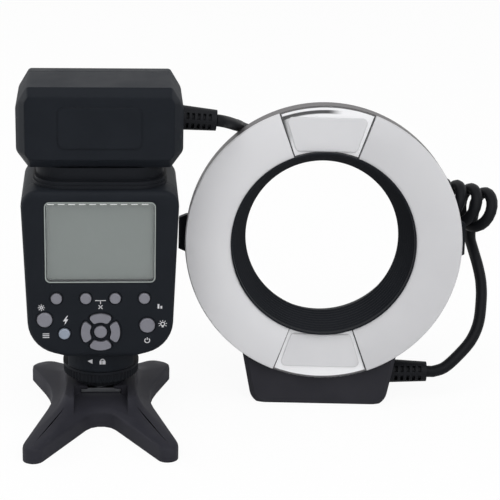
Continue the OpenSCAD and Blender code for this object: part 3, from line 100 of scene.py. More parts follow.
# %% Ring frame
RING_LEAN = math.radians(8)
RING_TURN = math.radians(-4)
RING_X, RING_Y = 105.1, -0.5
RING_DROP = 80.3
BOX_FRONT = 6
RING_MID = Vector((
    RING_X,
    RING_Y,
    RING_DROP * math.cos(RING_LEAN) + BOX_FRONT * math.sin(RING_LEAN),
))
ring_turned = Matrix.Rotation(RING_TURN, 3, "Z") @ Matrix.Rotation(-RING_LEAN, 3, "X")


def ring_point(u, w, v):
    return (RING_MID + ring_turned @ Vector((u, w, v))) * MM


print("Ring middle in mm:", [round(x, 1) for x in RING_MID])

# %% [markdown]
# ## Curls of the cord
# A coiled cord is one tube: a lead out of the head, a row of curls that hangs over the ring's
# rear collar, and a lead into the ring's box. Its centre line repeats the route of the CAD solids.
# The curls are a helix round a bent axis: an arc over the collar, a bend the other way and a
# straight run. The first curl opens out of the lead, and the last ones widen and slant.

# %% Route of the curls
CORD_R = 2.8
CURL_R = 7.2
CURL_GROW = 1.7
CURL_SLANT = 0.5
GROW_TURNS_LEFT, GROW_TURNS = 4, 3
CURL_PITCH = 7.4
BEND_PITCH = 8.6
RAMP_PITCH = 9
OVER_TURN = 0.28
GAP = 0.3
COVER_OUT = 26.6
COLLAR_R = 42.2
COVER_CLEAR = 1.6
CURL_W = COVER_OUT + COVER_CLEAR + GAP + CURL_R + CORD_R
ARC_R = COLLAR_R + GAP + CURL_R + CORD_R
ARC_FROM, ARC_TO = 66, 32
BEND_R = 28
SLOPE = -15
RUN = 22

arc_len = ARC_R * math.radians(ARC_FROM - ARC_TO)
bend_len = BEND_R * math.radians(SLOPE - ARC_TO + 90)


def compass(degrees):
    return Vector((math.cos(math.radians(degrees)), math.sin(math.radians(degrees))))


bend_mid = (ARC_R + BEND_R) * compass(ARC_TO)
bend_end = bend_mid - BEND_R * compass(SLOPE + 90)


def axis_at(s):
    """Heading in degrees and place (u, v) of the curls' axis at length s."""
    if s <= 0:
        h = ARC_FROM - 90
        return h, ARC_R * compass(h + 90) + s * compass(h)
    if s <= arc_len:
        h = ARC_FROM - 90 - math.degrees(s / ARC_R)
        return h, ARC_R * compass(h + 90)
    if s <= arc_len + bend_len:
        h = ARC_TO - 90 + math.degrees((s - arc_len) / BEND_R)
        return h, bend_mid - BEND_R * compass(h + 90)
    return SLOPE, bend_end + (s - arc_len - bend_len) * compass(SLOPE)


arc_turns = (arc_len - RAMP_PITCH) / CURL_PITCH
bend_turns = bend_len / BEND_PITCH
whole_turns = math.floor(1 + arc_turns + bend_turns + RUN / CURL_PITCH)
curl_turns = whole_turns + OVER_TURN


def axis_len(t):
    """Length of the axis after t curls: a long first one, the arc, the bend and the run."""
    if t <= 1:
        return t * RAMP_PITCH
    if t <= 1 + arc_turns:
        return RAMP_PITCH + (t - 1) * CURL_PITCH
    if t <= 1 + arc_turns + bend_turns:
        return arc_len + (t - 1 - arc_turns) * BEND_PITCH
    return arc_len + bend_len + (t - 1 - arc_turns - bend_turns) * CURL_PITCH


def clamped(x):
    return max(0, min(1, x))


def swell(x):
    """A smooth rise from 0 to 1."""
    x = clamped(x)
    return x * x * (3 - 2 * x)


def curl_point(t):
    """Place (u, w, v) of the cord's middle after t curls."""
    h, at = axis_at(axis_len(t))
    r = CURL_R * swell(t) + CURL_GROW * swell((t - whole_turns + GROW_TURNS_LEFT) / GROW_TURNS)
    along = CURL_SLANT * t / whole_turns * r * math.sin(math.tau * t)
    out = at + r * math.cos(math.tau * t) * compass(h + 90) - along * compass(h)
    return Vector((out.x, CURL_W + r * math.sin(math.tau * t), out.y))


print("Curls:", curl_turns)

# %% [markdown]
# ## Leads of the cord
# Each lead runs straight out of its strain relief and then along a spline through a few points in
# the ring's frame. A bend that takes both directions joins the head's end to its spline and the
# last curl to the lead below it, so the tube has no kink.

# %% Route of the leads
RELIEF_LEN, RING_RELIEF_LEN = 15.8, 17.4
RELIEF_DIP = math.radians(5)
HEAD_RELIEF = Vector((37.45, 0, 142.5))
BOX_LOW_X, BOX_FLARE, BOX_RISE, BOX_UNDER = 32, 6.2, 31, 1
BOX_RELIEF_Y, BOX_RELIEF_Z = 15, -65.3
BOX_RELIEF = Vector((
    BOX_LOW_X + BOX_FLARE * (BOX_RELIEF_Z + RING_DROP + BOX_UNDER) / BOX_RISE,
    BOX_RELIEF_Y,
    BOX_RELIEF_Z,
))
LEAD_MID = [
    (-46.3, -5.8, 57.8), (-44.4, 1.6, 56.2), (-42.9, 11.1, 54.5), (-41.9, 20.5, 52.9),
    (-39.7, 29.6, 50.5), (-36, 37, 48.2), (-30, 40, 47.1), (-20, 41, 49),
    (-8, 40, 51.5), (3, 38.9, 52.8),
]
TAIL_MID = [
    (79.3, 36, -20.5), (80, 33.5, -25.3), (80, 30, -32.1), (78.5, 24.5, -42.4),
    (74.7, 20.5, -50.5), (68.2, 17, -57.5), (61.6, 15.2, -63.2),
]
TAIL_FROM = Vector((75.6, 45.6, -7))
TAIL_DIR = Vector((0.22, -0.62, -0.75)).normalized()
RELIEF_OUT = 1.2 * CORD_R
CURL_OUT = 2 * CORD_R
POINTS_A_CURL = 20
SPLINE_STEPS = 8
LOOK_BACK = 0.02
CURL_REACH = 17
HEAD_BEND, HEAD_REACH, HEAD_STEPS = 24 * MM, 14 * MM, 24


def through(points, steps):
    """A smooth line through points, with a number of steps between neighbours."""
    line = []
    for i in range(len(points) - 1):
        a = points[max(i - 1, 0)]
        b, c = points[i], points[i + 1]
        d = points[min(i + 2, len(points) - 1)]
        for k in range(steps + (i == len(points) - 2)):
            s = k / steps
            line.append(b + s * ((c - a) / 2 + s * (
                (a - 2.5 * b + 2 * c - 0.5 * d) + s * (1.5 * b - 0.5 * a - 1.5 * c + 0.5 * d))))
    return line


def joined(a, a_dir, b, b_dir, reach, n):
    """n points of a smooth bend from a, left along a_dir, to b, reached along b_dir."""
    return [
        (2 * s ** 3 - 3 * s ** 2 + 1) * a + (s ** 3 - 2 * s ** 2 + s) * reach * a_dir
        + (3 * s ** 2 - 2 * s ** 3) * b + (s ** 3 - s ** 2) * reach * b_dir
        for s in (k / n for k in range(1, n + 1))]


def curl_line(n):
    """Middle line of the curls with n points a curl, from the head's lead to the box's."""
    end = curl_point(curl_turns)
    going = (end - curl_point(curl_turns - LOOK_BACK)).normalized()
    steps = round(n * curl_turns)
    start = axis_at(-CURL_OUT)[1]
    line = [Vector((start.x, CURL_W, start.y))]
    line += [curl_point(curl_turns * i / steps) for i in range(steps + 1)]
    line += joined(end, going, TAIL_FROM, TAIL_DIR, CURL_REACH, n)
    return line + [TAIL_FROM + CURL_OUT * TAIL_DIR]


curls = [ring_point(*p) for p in curl_line(POINTS_A_CURL)]
dip = Vector((math.cos(RELIEF_DIP), 0, -math.sin(RELIEF_DIP)))
mouth = HEAD_RELIEF + RELIEF_LEN * dip
into = (curls[1] - curls[0]).normalized()
lead = [mouth * MM] + through(
    [(mouth + RELIEF_OUT * dip) * MM] + [ring_point(*p) for p in LEAD_MID]
    + [curls[0] - CURL_OUT * MM * into], SPLINE_STEPS)
rest = next(i for i, p in enumerate(lead) if (p - lead[0]).length > HEAD_BEND)
rest_dir = (lead[rest + 1] - lead[rest]).normalized()
lead = (lead[:1] + joined(lead[0], dip, lead[rest], rest_dir, HEAD_REACH, HEAD_STEPS)
        + lead[rest + 1:])
out_from = TAIL_FROM + CURL_OUT * TAIL_DIR
box_mouth = BOX_RELIEF + Vector((RING_RELIEF_LEN, 0, 0))
tail = through(
    [out_from + CURL_OUT * TAIL_DIR] + [Vector(p) for p in TAIL_MID]
    + [box_mouth + Vector((RELIEF_OUT, 0, 0))], SPLINE_STEPS) + [box_mouth]
route = lead + curls + [ring_point(*p) for p in tail]

# %% [markdown]
# ## Cord tube
# A curve with a round bevel makes the whole route one unbroken piece. The bevel is 1 m deep and
# each point's radius brings it down to the cord's, because a curve's box counts those radii too.

# %% Cord tube
cord_curve = bpy.data.curves.new("cord", "CURVE")
cord_curve.dimensions = "3D"
cord_curve.bevel_depth = 1
cord_curve.bevel_resolution = 5
cord_curve.use_fill_caps = True
spline = cord_curve.splines.new("POLY")
spline.use_smooth = True
spline.points.add(len(route) - 1)
for point, place in zip(spline.points, route):
    point.co = (*place, 1)
    point.radius = CORD_R * MM
cord = placed("cord", cord_curve)
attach(cord, "controller")
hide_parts("cord_head_lead", "cord_curls", "cord_ring_lead")
print("Cord across in mm:", 2 * CORD_R)

# %% [markdown]
# ## Helpers for finishes
# A finish is a node tree on the Principled shader. One function turns an sRGB hex value to linear
# colour, and one adds a node with its settings and links, so that each material reads as a list.

# %% Finish helpers


def linear(code):
    """Linear colour of an sRGB hex value, by the sRGB curve."""
    parts = [int(code[i:i + 2], 16) / 255 for i in (1, 3, 5)]
    return [p / 12.92 if p <= 0.04045 else ((p + 0.055) / 1.055) ** 2.4 for p in parts] + [1.0]


def add(tree, kind, inputs=None, **settings):
    """One node: settings are its properties, inputs its values or the sockets it reads.
    A shader node goes by its short name, any other by its full one."""
    node = tree.nodes.new(kind if "Node" in kind else "ShaderNode" + kind)
    for name, value in settings.items():
        setattr(node, name, value)
    for name, value in (inputs or {}).items():
        if isinstance(value, bpy.types.NodeSocket):
            tree.links.new(value, node.inputs[name])
        else:
            node.inputs[name].default_value = value
    return node


def finish_of(name, **sockets):
    """A new material with a Principled shader, whose even values sit on its own sockets."""
    material = bpy.data.materials.new(name)
    material.use_nodes = True
    tree = material.node_tree
    tree.nodes.clear()
    shader = add(tree, "BsdfPrincipled", {k.replace("_", " "): v for k, v in sockets.items()})
    add(tree, "OutputMaterial", {"Surface": shader.outputs[0]})
    return material, tree, shader


print("Mid grey in linear light:", round(linear("#808080")[0], 3))

# %% [markdown]
# ## Moulded plastics
# Most of the flash is black ABS. Its tool was spark-eroded, which leaves a fine grain. A real one
# is too fine to show, so a noise of about half a millimetre drives a shallow bump. A second, wider
# one varies colour and gloss a little, as handling does. Edges are softened in the shading by the
# Bevel node, because a moulded edge always has a small radius that catches the light. The blacks
# mirror little of the white world round them.

# %% Moulded plastics
PLASTIC_IOR = 1.53
HANDLING_MM = 14
CLEAN, WORN = 0.3, 0.7
GLOSS_DRIFT = 0.05


def moulded(name, colour, worn, roughness, grain_mm, depth_mm, edge_mm=0.35, specular=0.25):
    material, tree, shader = finish_of(name, IOR=PLASTIC_IOR, Specular_IOR_Level=specular)
    place = add(tree, "TexCoord").outputs["Object"]
    grain = add(tree, "TexNoise", {
        "Vector": place, "Scale": 1 / (grain_mm * MM), "Detail": 3.0})
    cloud = add(tree, "TexNoise", {
        "Vector": place, "Scale": 1 / (HANDLING_MM * MM), "Detail": 4.0})
    wear = {"Value": cloud.outputs["Fac"], "From Min": CLEAN, "From Max": WORN}
    tint = add(tree, "MapRange", {**wear, "To Min": 0.0, "To Max": 1.0})
    mixed = add(tree, "Mix", {
        "Factor": tint.outputs["Result"], "A": linear(colour), "B": linear(worn)},
        data_type="RGBA")
    gloss = add(tree, "MapRange", {
        **wear, "To Min": roughness - GLOSS_DRIFT, "To Max": roughness + GLOSS_DRIFT})
    edge = add(tree, "Bevel", {"Radius": edge_mm * MM}, samples=4)
    bump = add(tree, "Bump", {
        "Height": grain.outputs["Fac"], "Distance": depth_mm * MM, "Strength": 1.0,
        "Normal": edge.outputs["Normal"]})
    for socket, source in (
            ("Base Color", mixed.outputs["Result"]),
            ("Roughness", gloss.outputs["Result"]),
            ("Normal", bump.outputs["Normal"])):
        tree.links.new(source, shader.inputs[socket])
    return material


# Deep black with an even grain and soft edges.
BODY = moulded(
    "abs_black_spark_eroded", "#1a1d22", "#1d2025", 0.5, 0.45, 0.014, edge_mm=1.6, specular=0.05)
# A smoother black, so that ribs and knurls stay sharp.
SATIN = moulded("abs_black_satin", "#1b1d21", "#1e2024", 0.5, 0.6, 0.008, specular=0.05)
# A dull, slightly bluish dark grey.
STAND = moulded(
    "abs_black_matt_stand", "#2a2a30", "#2f2f35", 0.5, 0.5, 0.01, edge_mm=1.0, specular=0.06)
# A charcoal that stands off from the black ring above it.
BOX = moulded("abs_charcoal_box", "#2b2b30", "#2f2f34", 0.55, 0.45, 0.016, specular=0.06)
# A plain mid grey with a low sheen along its round edge.
BEZEL = moulded("abs_grey_bezel", "#545253", "#5d5b5c", 0.5, 0.45, 0.012)
# A light grey, with small soft edges that make each key read as a cap.
KEYS = moulded(
    "abs_grey_keys", "#73737b", "#797981", 0.5, 0.35, 0.012, edge_mm=0.25, specular=0.3)
# A soft black without shine, so that only the slots show.
RELIEF = moulded("soft_vinyl_strain_relief", "#17181b", "#1a1b1e", 0.5, 0.5, 0.01, specular=0.06)
# A dry, dusty dark grey.
MAT = moulded("silicone_key_mat", "#2c2c2e", "#303032", 0.7, 0.6, 0.01)
print("Plastics made")

# %% [markdown]
# ## Clear, milky and bright finishes
# The diffusers are milky acrylic, the flash windows clear polycarbonate over polished aluminium,
# and the screen is a reflective liquid crystal behind a clear pane.

# %% Clear and bright finishes
QUARTZ_IOR = 1.46
SHEET_GRAIN_MM = 0.8
GLOSS_SHARE = 0.2


def film(name, colour, alpha, roughness):
    """A clear pane, thin enough to let light straight through: mostly see-through, with a shine."""
    return finish_of(name, Base_Color=linear(colour), Roughness=roughness, Alpha=alpha)[0]


def cloudy(name, dark, light, roughness, cloud_mm, metallic=0.0, specular=0.5, bump_mm=0.0):
    """An even sheet finish whose colour and gloss drift a little over some millimetres."""
    material, tree, shader = finish_of(name, Metallic=metallic, Specular_IOR_Level=specular)
    place = add(tree, "TexCoord").outputs["Object"]
    cloud = add(tree, "TexNoise", {
        "Vector": place, "Scale": 1 / (cloud_mm * MM), "Detail": 3.0})
    mixed = add(tree, "Mix", {
        "Factor": cloud.outputs["Fac"], "A": linear(dark), "B": linear(light)}, data_type="RGBA")
    gloss = add(tree, "MapRange", {
        "Value": cloud.outputs["Fac"], "To Min": roughness * (1 - GLOSS_SHARE),
        "To Max": roughness * (1 + GLOSS_SHARE)})
    tree.links.new(mixed.outputs["Result"], shader.inputs["Base Color"])
    tree.links.new(gloss.outputs["Result"], shader.inputs["Roughness"])
    if bump_mm:
        fine = add(tree, "TexNoise", {
            "Vector": place, "Scale": 1 / (SHEET_GRAIN_MM * MM), "Detail": 2.0})
        bump = add(tree, "Bump", {"Height": fine.outputs["Fac"], "Distance": bump_mm * MM})
        tree.links.new(bump.outputs["Normal"], shader.inputs["Normal"])
    return material


# Water-clear with sharp mirror lines along the tube.
TUBE = finish_of(
    "quartz_flash_tube", Base_Color=linear("#f6fafb"), Roughness=0.02, IOR=QUARTZ_IOR,
    Transmission_Weight=1.0)[0]
# Panes that show as a faint veil and a shine.
WINDOW = film("acrylic_clear_window", "#dfe4e2", 0.08, 0.06)
LENS = film("polycarbonate_clear_lens", "#eef0f2", 0.06, 0.04)
# A pale, even white with a soft sheen. The right diffuser gets a copy painted a shade darker, as
# painted shade where less light falls.
DIFFUSER = cloudy("acrylic_milky_diffuser", "#cdcdd0", "#d4d4d6", 0.42, 30, bump_mm=0.006)
DIFFUSER_PAINTED_SHADE = cloudy(
    "acrylic_milky_diffuser_painted_shade", "#bdbdc0", "#c6c6c8", 0.42, 30, bump_mm=0.006)
# Metals: a near mirror, a dull plating, and two warm ones.
CHROME = cloudy("aluminium_polished_reflector", "#d9dadc", "#e4e5e6", 0.12, 8, metallic=1.0)
STEEL = cloudy("steel_plated_stamping", "#a9acb0", "#b6b9bd", 0.3, 5, metallic=1.0)
BRASS = cloudy("brass_turned_bush", "#ac8840", "#b8954c", 0.3, 4, metallic=1.0)
GOLD = cloudy("gold_plated_contact", "#c39c45", "#cfa84f", 0.22, 2, metallic=1.0)
# A flat greenish grey, as the screen is when it is off.
SCREEN = cloudy("liquid_crystal_screen", "#616967", "#686f6d", 0.35, 25, specular=0.25)
# A cap with a cool tint and more gloss than the keys beside it.
PILOT = cloudy("polycarbonate_bluish_pilot", "#838d9b", "#8d96a4", 0.3, 3)
# A red so deep that it looks black until light falls on it.
ASSIST = cloudy("acrylic_dark_red", "#2b090c", "#350c10", 0.12, 10)
# Smooth lacquer on boards, dull rubber on the chips, and a tight shiny sleeve.
BOARD = cloudy("laminate_green_solder_mask", "#1b5235", "#20603f", 0.35, 6)
WHITE_BOARD = cloudy("laminate_white_solder_mask", "#dededa", "#e6e6e2", 0.4, 6)
PHOSPHOR = cloudy("silicone_yellow_phosphor", "#ead67e", "#f1df8e", 0.5, 1)
SLEEVE = cloudy("pvc_shrink_sleeve", "#414a55", "#4a5460", 0.25, 10)
# Dry ink without shine.
MARK = cloudy("ink_light_grey_print", "#c4c4c8", "#cdcdd0", 0.6, 3)
print("Clear and bright finishes made")

# %% [markdown]
# ## Cord jacket
# The jacket is soft black PVC with a low sheen. It is drawn on Object coordinates with a fine
# grain, so it stays the same whichever way the cord bends.

# %% Cord jacket
JACKET = moulded("pvc_soft_black_jacket", "#141518", "#17181b", 0.45, 0.7, 0.006, specular=0.06)
cord_curve.materials.append(JACKET)
print("Jacket:", JACKET.name)

# %% [markdown]
# ## Skins of the CAD nodes
# The frame's meshes are loose triangles. A skin is a merged copy of one, with smooth shading where
# its faces meet at a small angle and a crisp edge elsewhere, so round forms look round. It stands
# for its node and rides on the same body.

# %% Skins
MERGE_MM, SLIVER_MM = 0.002, 0.001
CRISP = math.radians(32)
body_of_node = {n: b for b, ns in frame["record"]["behaviour"]["bodies"].items() for n in ns}


def skin(node, material):
    mesh = bpy.data.meshes.new(node + "_skin")
    bm = bmesh.new()
    bm.from_mesh(frame["nodes"][node].data)
    bmesh.ops.remove_doubles(bm, verts=bm.verts, dist=MERGE_MM * MM)
    bmesh.ops.dissolve_degenerate(bm, edges=bm.edges, dist=SLIVER_MM * MM)
    for face in bm.faces:
        face.smooth = True
        face.material_index = 0
    for edge in bm.edges:
        edge.smooth = edge.calc_face_angle(math.pi) < CRISP
    bm.to_mesh(mesh)
    bm.free()
    for name in [a.name for a in mesh.attributes if a.name.startswith("custom_normal")]:
        mesh.attributes.remove(mesh.attributes[name])
    mesh.materials.append(material)
    piece = placed(node + "_skin", mesh)
    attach(piece, body_of_node[node])
    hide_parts(node)


SKINS = {
    BODY: ["rear_shell", "front_shell", "head_rear_shell", "head_front_shell", "battery_door",
           "lock_block", "ring_rear_cover"],
    SATIN: ["neck_collar", "lock_wheel", "ring_tube", "mount_collar", "release_tab_left",
            "release_tab_right"],
    STAND: ["stand_shell"],
    BOX: ["box_front", "box_rear"],
    BEZEL: ["ring_bezel"],
    KEYS: ["lamp_key", "clear_left_key", "clear_right_key", "ratio_key", "mode_key", "power_key",
           "set_key", "up_key", "down_key", "left_key", "right_key"],
    PILOT: ["pilot_key"],
    RELIEF: ["head_relief", "ring_relief"],
    DIFFUSER: ["diffuser_left"],
    # The right diffuser's darker finish is painted shade.
    DIFFUSER_PAINTED_SHADE: ["diffuser_right"],
    LENS: ["flash_lenses"],
    WINDOW: ["screen_window"],
    CHROME: ["reflectors"],
    TUBE: ["flash_tubes"],
    ASSIST: ["assist_window"],
    BRASS: ["tripod_bush"],
    STEEL: ["shoe_foot", "latch_ring_left", "latch_ring_right"],
}
for material, nodes in SKINS.items():
    for node in nodes:
        skin(node, material)
print("Skins:", sum(len(n) for n in SKINS.values()))

# %% [markdown]
# ## Flash plates
# Behind each clear lens sits a frosted plate with rounded corners. It is drawn as a rounded oblong
# that is bent round the ring, with a small chamfer on its front edge.

# %% Flash plates
PLATE_IN, PLATE_OUT = 45.8, 62.4
PLATE_MID = (PLATE_IN + PLATE_OUT) / 2
PLATE_HALF = math.radians(17.9)
PLATE_CORNER, PLATE_CHAMFER = 2.2, 0.25
PLATE_FACE, PLATE_EDGE, PLATE_BACK = 1.5, 1.7, 2.1


def oblong(half_x, half_y, r, n=6):
    """Points of an oblong with rounded corners, anticlockwise from the right."""
    points = []
    for k, (x, y) in enumerate(((1, 1), (-1, 1), (-1, -1), (1, -1))):
        for i in range(n + 1):
            a = math.radians(90 * (k + i / n))
            points.append((
                x * (half_x - r) + r * math.cos(a), y * (half_y - r) + r * math.sin(a)))
    return points


def bent(points, side):
    """Points (along, out) of an oblong bent round the ring, over it (1) or under it (-1)."""
    out = []
    for x, y in points:
        a, r = x / PLATE_MID, PLATE_MID + y
        out.append((side * r * math.sin(a), side * r * math.cos(a)))
    return out


def mesh_piece(name, points, faces, material, body):
    mesh = bpy.data.meshes.new(name)
    mesh.from_pydata([tuple(p) for p in points], [], faces)
    mesh.validate()
    bm = bmesh.new()
    bm.from_mesh(mesh)
    bmesh.ops.recalc_face_normals(bm, faces=bm.faces)
    bm.to_mesh(mesh)
    bm.free()
    mesh.materials.append(material)
    piece = placed(name, mesh)
    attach(piece, body)
    return piece


# Frosted on its back, so it shows an even pale grey.
PLATE = cloudy("polycarbonate_frosted_plate", "#c6c6c9", "#cfcfd1", 0.5, 9)
half_x, half_y = PLATE_HALF * PLATE_MID, (PLATE_OUT - PLATE_IN) / 2
for side, name in ((1, "flash_plate_upper"), (-1, "flash_plate_lower")):
    face_rim, edge_rim = (
        bent(oblong(half_x - d, half_y - d, PLATE_CORNER), side) for d in (PLATE_CHAMFER, 0))
    layers = ((face_rim, PLATE_FACE), (edge_rim, PLATE_EDGE), (edge_rim, PLATE_BACK))
    points = [ring_point(u, w, v) for rim, w in layers for u, v in rim]
    n = len(edge_rim)
    faces = [[k * n + i, k * n + (i + 1) % n, (k + 1) * n + (i + 1) % n, (k + 1) * n + i]
             for k in range(len(layers) - 1) for i in range(n)]
    faces += [list(range(n)), list(range(2 * n, 3 * n))]
    mesh_piece(name, points, faces, PLATE, "controller")
print("Flash plates made, points round each:", n)

# %% [markdown]
# ## Flash rims
# Round each plate runs a bright rim, whose colour is a painted reflection: white for the lights.
# On the upper rim a painted shade, stored on its points, stands for the mirrored dark bezel: a band
# near its outer edge that fades to the right and a wedge at its left end.

# %% Flash rims
RIM_IN, RIM_OUT, RIM_W = 44.3, 64.9, 2.2
RIM_HALF = math.radians(19.5)
RIM_STEPS = 24
BAND_IN, BAND_OUT = 62, 63.7
BAND_END, BAND_FADE = 0.3, 0.25
WEDGE_IN, WEDGE_RISE = 50, 6
WEDGE_END, WEDGE_FADE = -0.9, 0.05
RIM_RADII = (RIM_IN, RIM_IN + 2, 54, 61.8, 62.3, 63.6, 63.9, RIM_OUT)


def rim_painted_reflection(x, r):
    """Painted bezel reflection on the upper rim at radius r and at x, which runs from -1 to 1."""
    band = (BAND_IN < r < BAND_OUT) * clamped((BAND_END - x) / BAND_FADE)
    wedge = clamped((WEDGE_END - x) / WEDGE_FADE) * clamped((r - WEDGE_IN) / WEDGE_RISE)
    return max(band, wedge * (r < BAND_OUT))


# Bright metal drawn as a plain colour: a painted reflection, white for the lights and dark for the
# bezel.
RIM, tree, shader = finish_of("aluminium_rim_painted_reflection", Roughness=0.3)
shade = add(tree, "Attribute", attribute_name="shade")
ramp = add(tree, "Mix", {
    "Factor": shade.outputs["Fac"], "A": linear("#ececee"), "B": linear("#18181a")},
    data_type="RGBA")
tree.links.new(ramp.outputs["Result"], shader.inputs["Base Color"])
n = RIM_STEPS + 1
for side, name in ((1, "flash_rim_upper"), (-1, "flash_rim_lower")):
    points, shades = [], []
    for r in RIM_RADII:
        for i in range(n):
            x = -1 + 2 * i / RIM_STEPS
            a = x * RIM_HALF
            points.append(ring_point(side * r * math.sin(a), RIM_W, side * r * math.cos(a)))
            # Only the upper rim carries the painted reflection of the bezel.
            shades.append(rim_painted_reflection(x, r) if side > 0 else 0.0)
    faces = [[k * n + i, k * n + i + 1, (k + 1) * n + i + 1, (k + 1) * n + i]
             for k in range(len(RIM_RADII) - 1) for i in range(RIM_STEPS)]
    rim = mesh_piece(name, points, faces, RIM, "controller")
    values = rim.data.attributes.new("shade", "FLOAT", "POINT")
    values.data.foreach_set("value", shades)
print("Flash rims made, faces in each:", len(faces))

# %% [markdown]
# ## Screen edge
# The window's polished edge is drawn as a thin light line, a painted highlight where the edge
# catches the light. Behind its upper edge runs a row of painted glints, bright dashes that stand
# for reflections, set where the pads join the liquid crystal to its board. Both lie just proud of
# the panel's face.

# %% Screen edge
PANEL_Y = -25.03
SCREEN_Z = 90.6
EDGE_OUTER, EDGE_INNER = (25.1, 19.4, 2.3), (24.6, 18.9, 1.8)
# The row of bright dashes is painted glints, placed where the pads are.
GLINTS, GLINTS_FROM, GLINT_STEP, GLINT_W = 10, -23.6, 4.7, 3.0
GLINT_LOW, GLINT_HIGH = 18.2, 18.55
# A painted highlight along the cut edge, and painted glints as bright as bare metal.
EDGE = cloudy("acrylic_edge_painted_highlight", "#8b9290", "#989f9c", 0.25, 12)
GLINT = cloudy("screen_glint_painted", "#d9dcda", "#e6e8e6", 0.3, 3)


def on_panel(x, z):
    return Vector((x, PANEL_Y, z)) * MM


outer, inner = oblong(*EDGE_OUTER), oblong(*EDGE_INNER)
n = len(outer)
mesh_piece(
    "screen_edge_highlight", [on_panel(x, SCREEN_Z + z) for x, z in outer + inner],
    [[i, (i + 1) % n, n + (i + 1) % n, n + i] for i in range(n)],
    EDGE, "controller")
# Each glint is a painted highlight, one bright oblong.
points, faces = [], []
for k in range(GLINTS):
    left = GLINTS_FROM + GLINT_STEP * k
    right = left + GLINT_W
    corners = ((left, GLINT_LOW), (right, GLINT_LOW), (right, GLINT_HIGH), (left, GLINT_HIGH))
    faces.append(list(range(len(points), len(points) + 4)))
    points += [on_panel(x, SCREEN_Z + z) for x, z in corners]
mesh_piece("screen_glints", points, faces, GLINT, "controller")
print("Screen edge made, pads:", len(faces))

# %% [markdown]
# ## Printed signs
# The signs beside the keys are one layer of light ink. Each is drawn from bars, discs and arcs in
# millimetres, and laid on the flat panel or round the lock block.

# %% Printed signs
BLOCK_INK_R = 18.05
RAY_W = 0.32


def bar(x0, z0, x1, z1, w=0.4):
    along = Vector((x1 - x0, z1 - z0)).normalized() * w / 2
    return [[(x0 - along.y, z0 + along.x), (x0 + along.y, z0 - along.x),
             (x1 + along.y, z1 - along.x), (x1 - along.y, z1 + along.x)]]


def arc(x, z, r, start, end, w=0.4, n=14):
    ends = [compass(start + (end - start) * i / n) for i in range(n + 1)]
    low, high = r - w / 2, r + w / 2
    return [[(x + q * c.x, z + q * c.y) for q, c in ((low, a), (high, a), (high, b), (low, b))]
            for a, b in zip(ends, ends[1:])]


def rays(x, z, r0, r1, angles):
    ways = [compass(a) for a in angles]
    return [q for c in ways for q in bar(
        x + r0 * c.x, z + r0 * c.y, x + r1 * c.x, z + r1 * c.y, RAY_W)]


def on_block(x, z):
    return Vector((x, -math.sqrt(BLOCK_INK_R ** 2 - x * x), z)) * MM


bolt = [(0.7, 2.4), (-1.2, -0.4), (-0.1, -0.4), (-0.6, -2.4), (1.2, 0.6), (0.2, 0.6), (1.1, 2.4)]
panel_signs = (
    # A bolt over the pilot key
    [[(-16 + x, 52.6 + z) for x, z in bolt]]
    # A lamp at the right edge
    + arc(28.6, 50.6, 0.9, 0, 360) + bar(28.15, 49.2, 29.05, 49.2, 0.5)
    + rays(28.6, 50.6, 1.4, 2.0, range(-30, 211, 40))
    # A bracket under the screen
    + bar(-2.5, 62.4, 2.5, 62.4, 0.35) + bar(0, 62.4, 0, 60.7, 0.35)
    # A small sun at the left edge
    + arc(-27, 59, 0.55, 0, 360, 0.45) + rays(-27, 59, 1.0, 1.6, range(0, 360, 45))
    # A cross under the bracket
    + bar(-0.9, 58.3, 0.9, 60.1) + bar(-0.9, 60.1, 0.9, 58.3)
    # Two bars at the right edge
    + bar(26.6, 58.3, 26.6, 60.5, 0.8) + bar(27.9, 58.3, 27.9, 59.6, 0.8)
    # Three lines low at the left
    + bar(-26.6, 46, -23.6, 46) + bar(-26.6, 45.1, -23.6, 45.1) + bar(-26.6, 44.2, -23.6, 44.2)
    # An open ring with a stroke low at the right
    + arc(21.5, 42.4, 1.15, 125, 415) + bar(21.5, 42.7, 21.5, 43.9)
)
block_signs = (
    # An arrow and a padlock
    [[(-6.2, 28.6), (-3.9, 27.4), (-3.9, 29.8)]]
    + [[(-0.6, 27.3), (2.2, 27.3), (2.2, 29.1), (-0.6, 29.1)]] + arc(0.8, 29.1, 0.85, 0, 180, 0.45)
)
for name, signs, place in (
        ("panel_signs", panel_signs, on_panel), ("block_signs", block_signs, on_block)):
    points = [place(x, z) for sign in signs for x, z in sign]
    faces, first = [], 0
    for sign in signs:
        faces.append(list(range(first, first + len(sign))))
        first += len(sign)
    mesh_piece(name, points, faces, MARK, "controller")
print("Faces of the signs:", len(panel_signs) + len(block_signs))

# %% [markdown]
# ## A screw in Geometry Nodes
# One screw is modelled in Geometry Nodes, set on every point of a small mesh and turned to face
# away from the wall. It is a flat head, from which two crossed strokes are taken. They are lifted
# by the head's whole height and only touch its face, so no cross is cut, and the Difference leaves
# one or both strokes standing, not the same in every run. That is a known fault.

# %% Screw nodes
CROSS_LONG, CROSS_SLIM = 1.3, 0.3
group = bpy.data.node_groups.new("screws_on_points", "GeometryNodeTree")
sockets = group.interface
sockets.new_socket("Geometry", in_out="INPUT", socket_type="NodeSocketGeometry")
socket_of = {
    name: sockets.new_socket(name, in_out="INPUT", socket_type=kind).identifier
    for name, kind in (("Radius", "NodeSocketFloat"), ("Height", "NodeSocketFloat"),
                       ("Facing", "NodeSocketVector"), ("Finish", "NodeSocketMaterial"))}
sockets.new_socket("Geometry", in_out="OUTPUT", socket_type="NodeSocketGeometry")

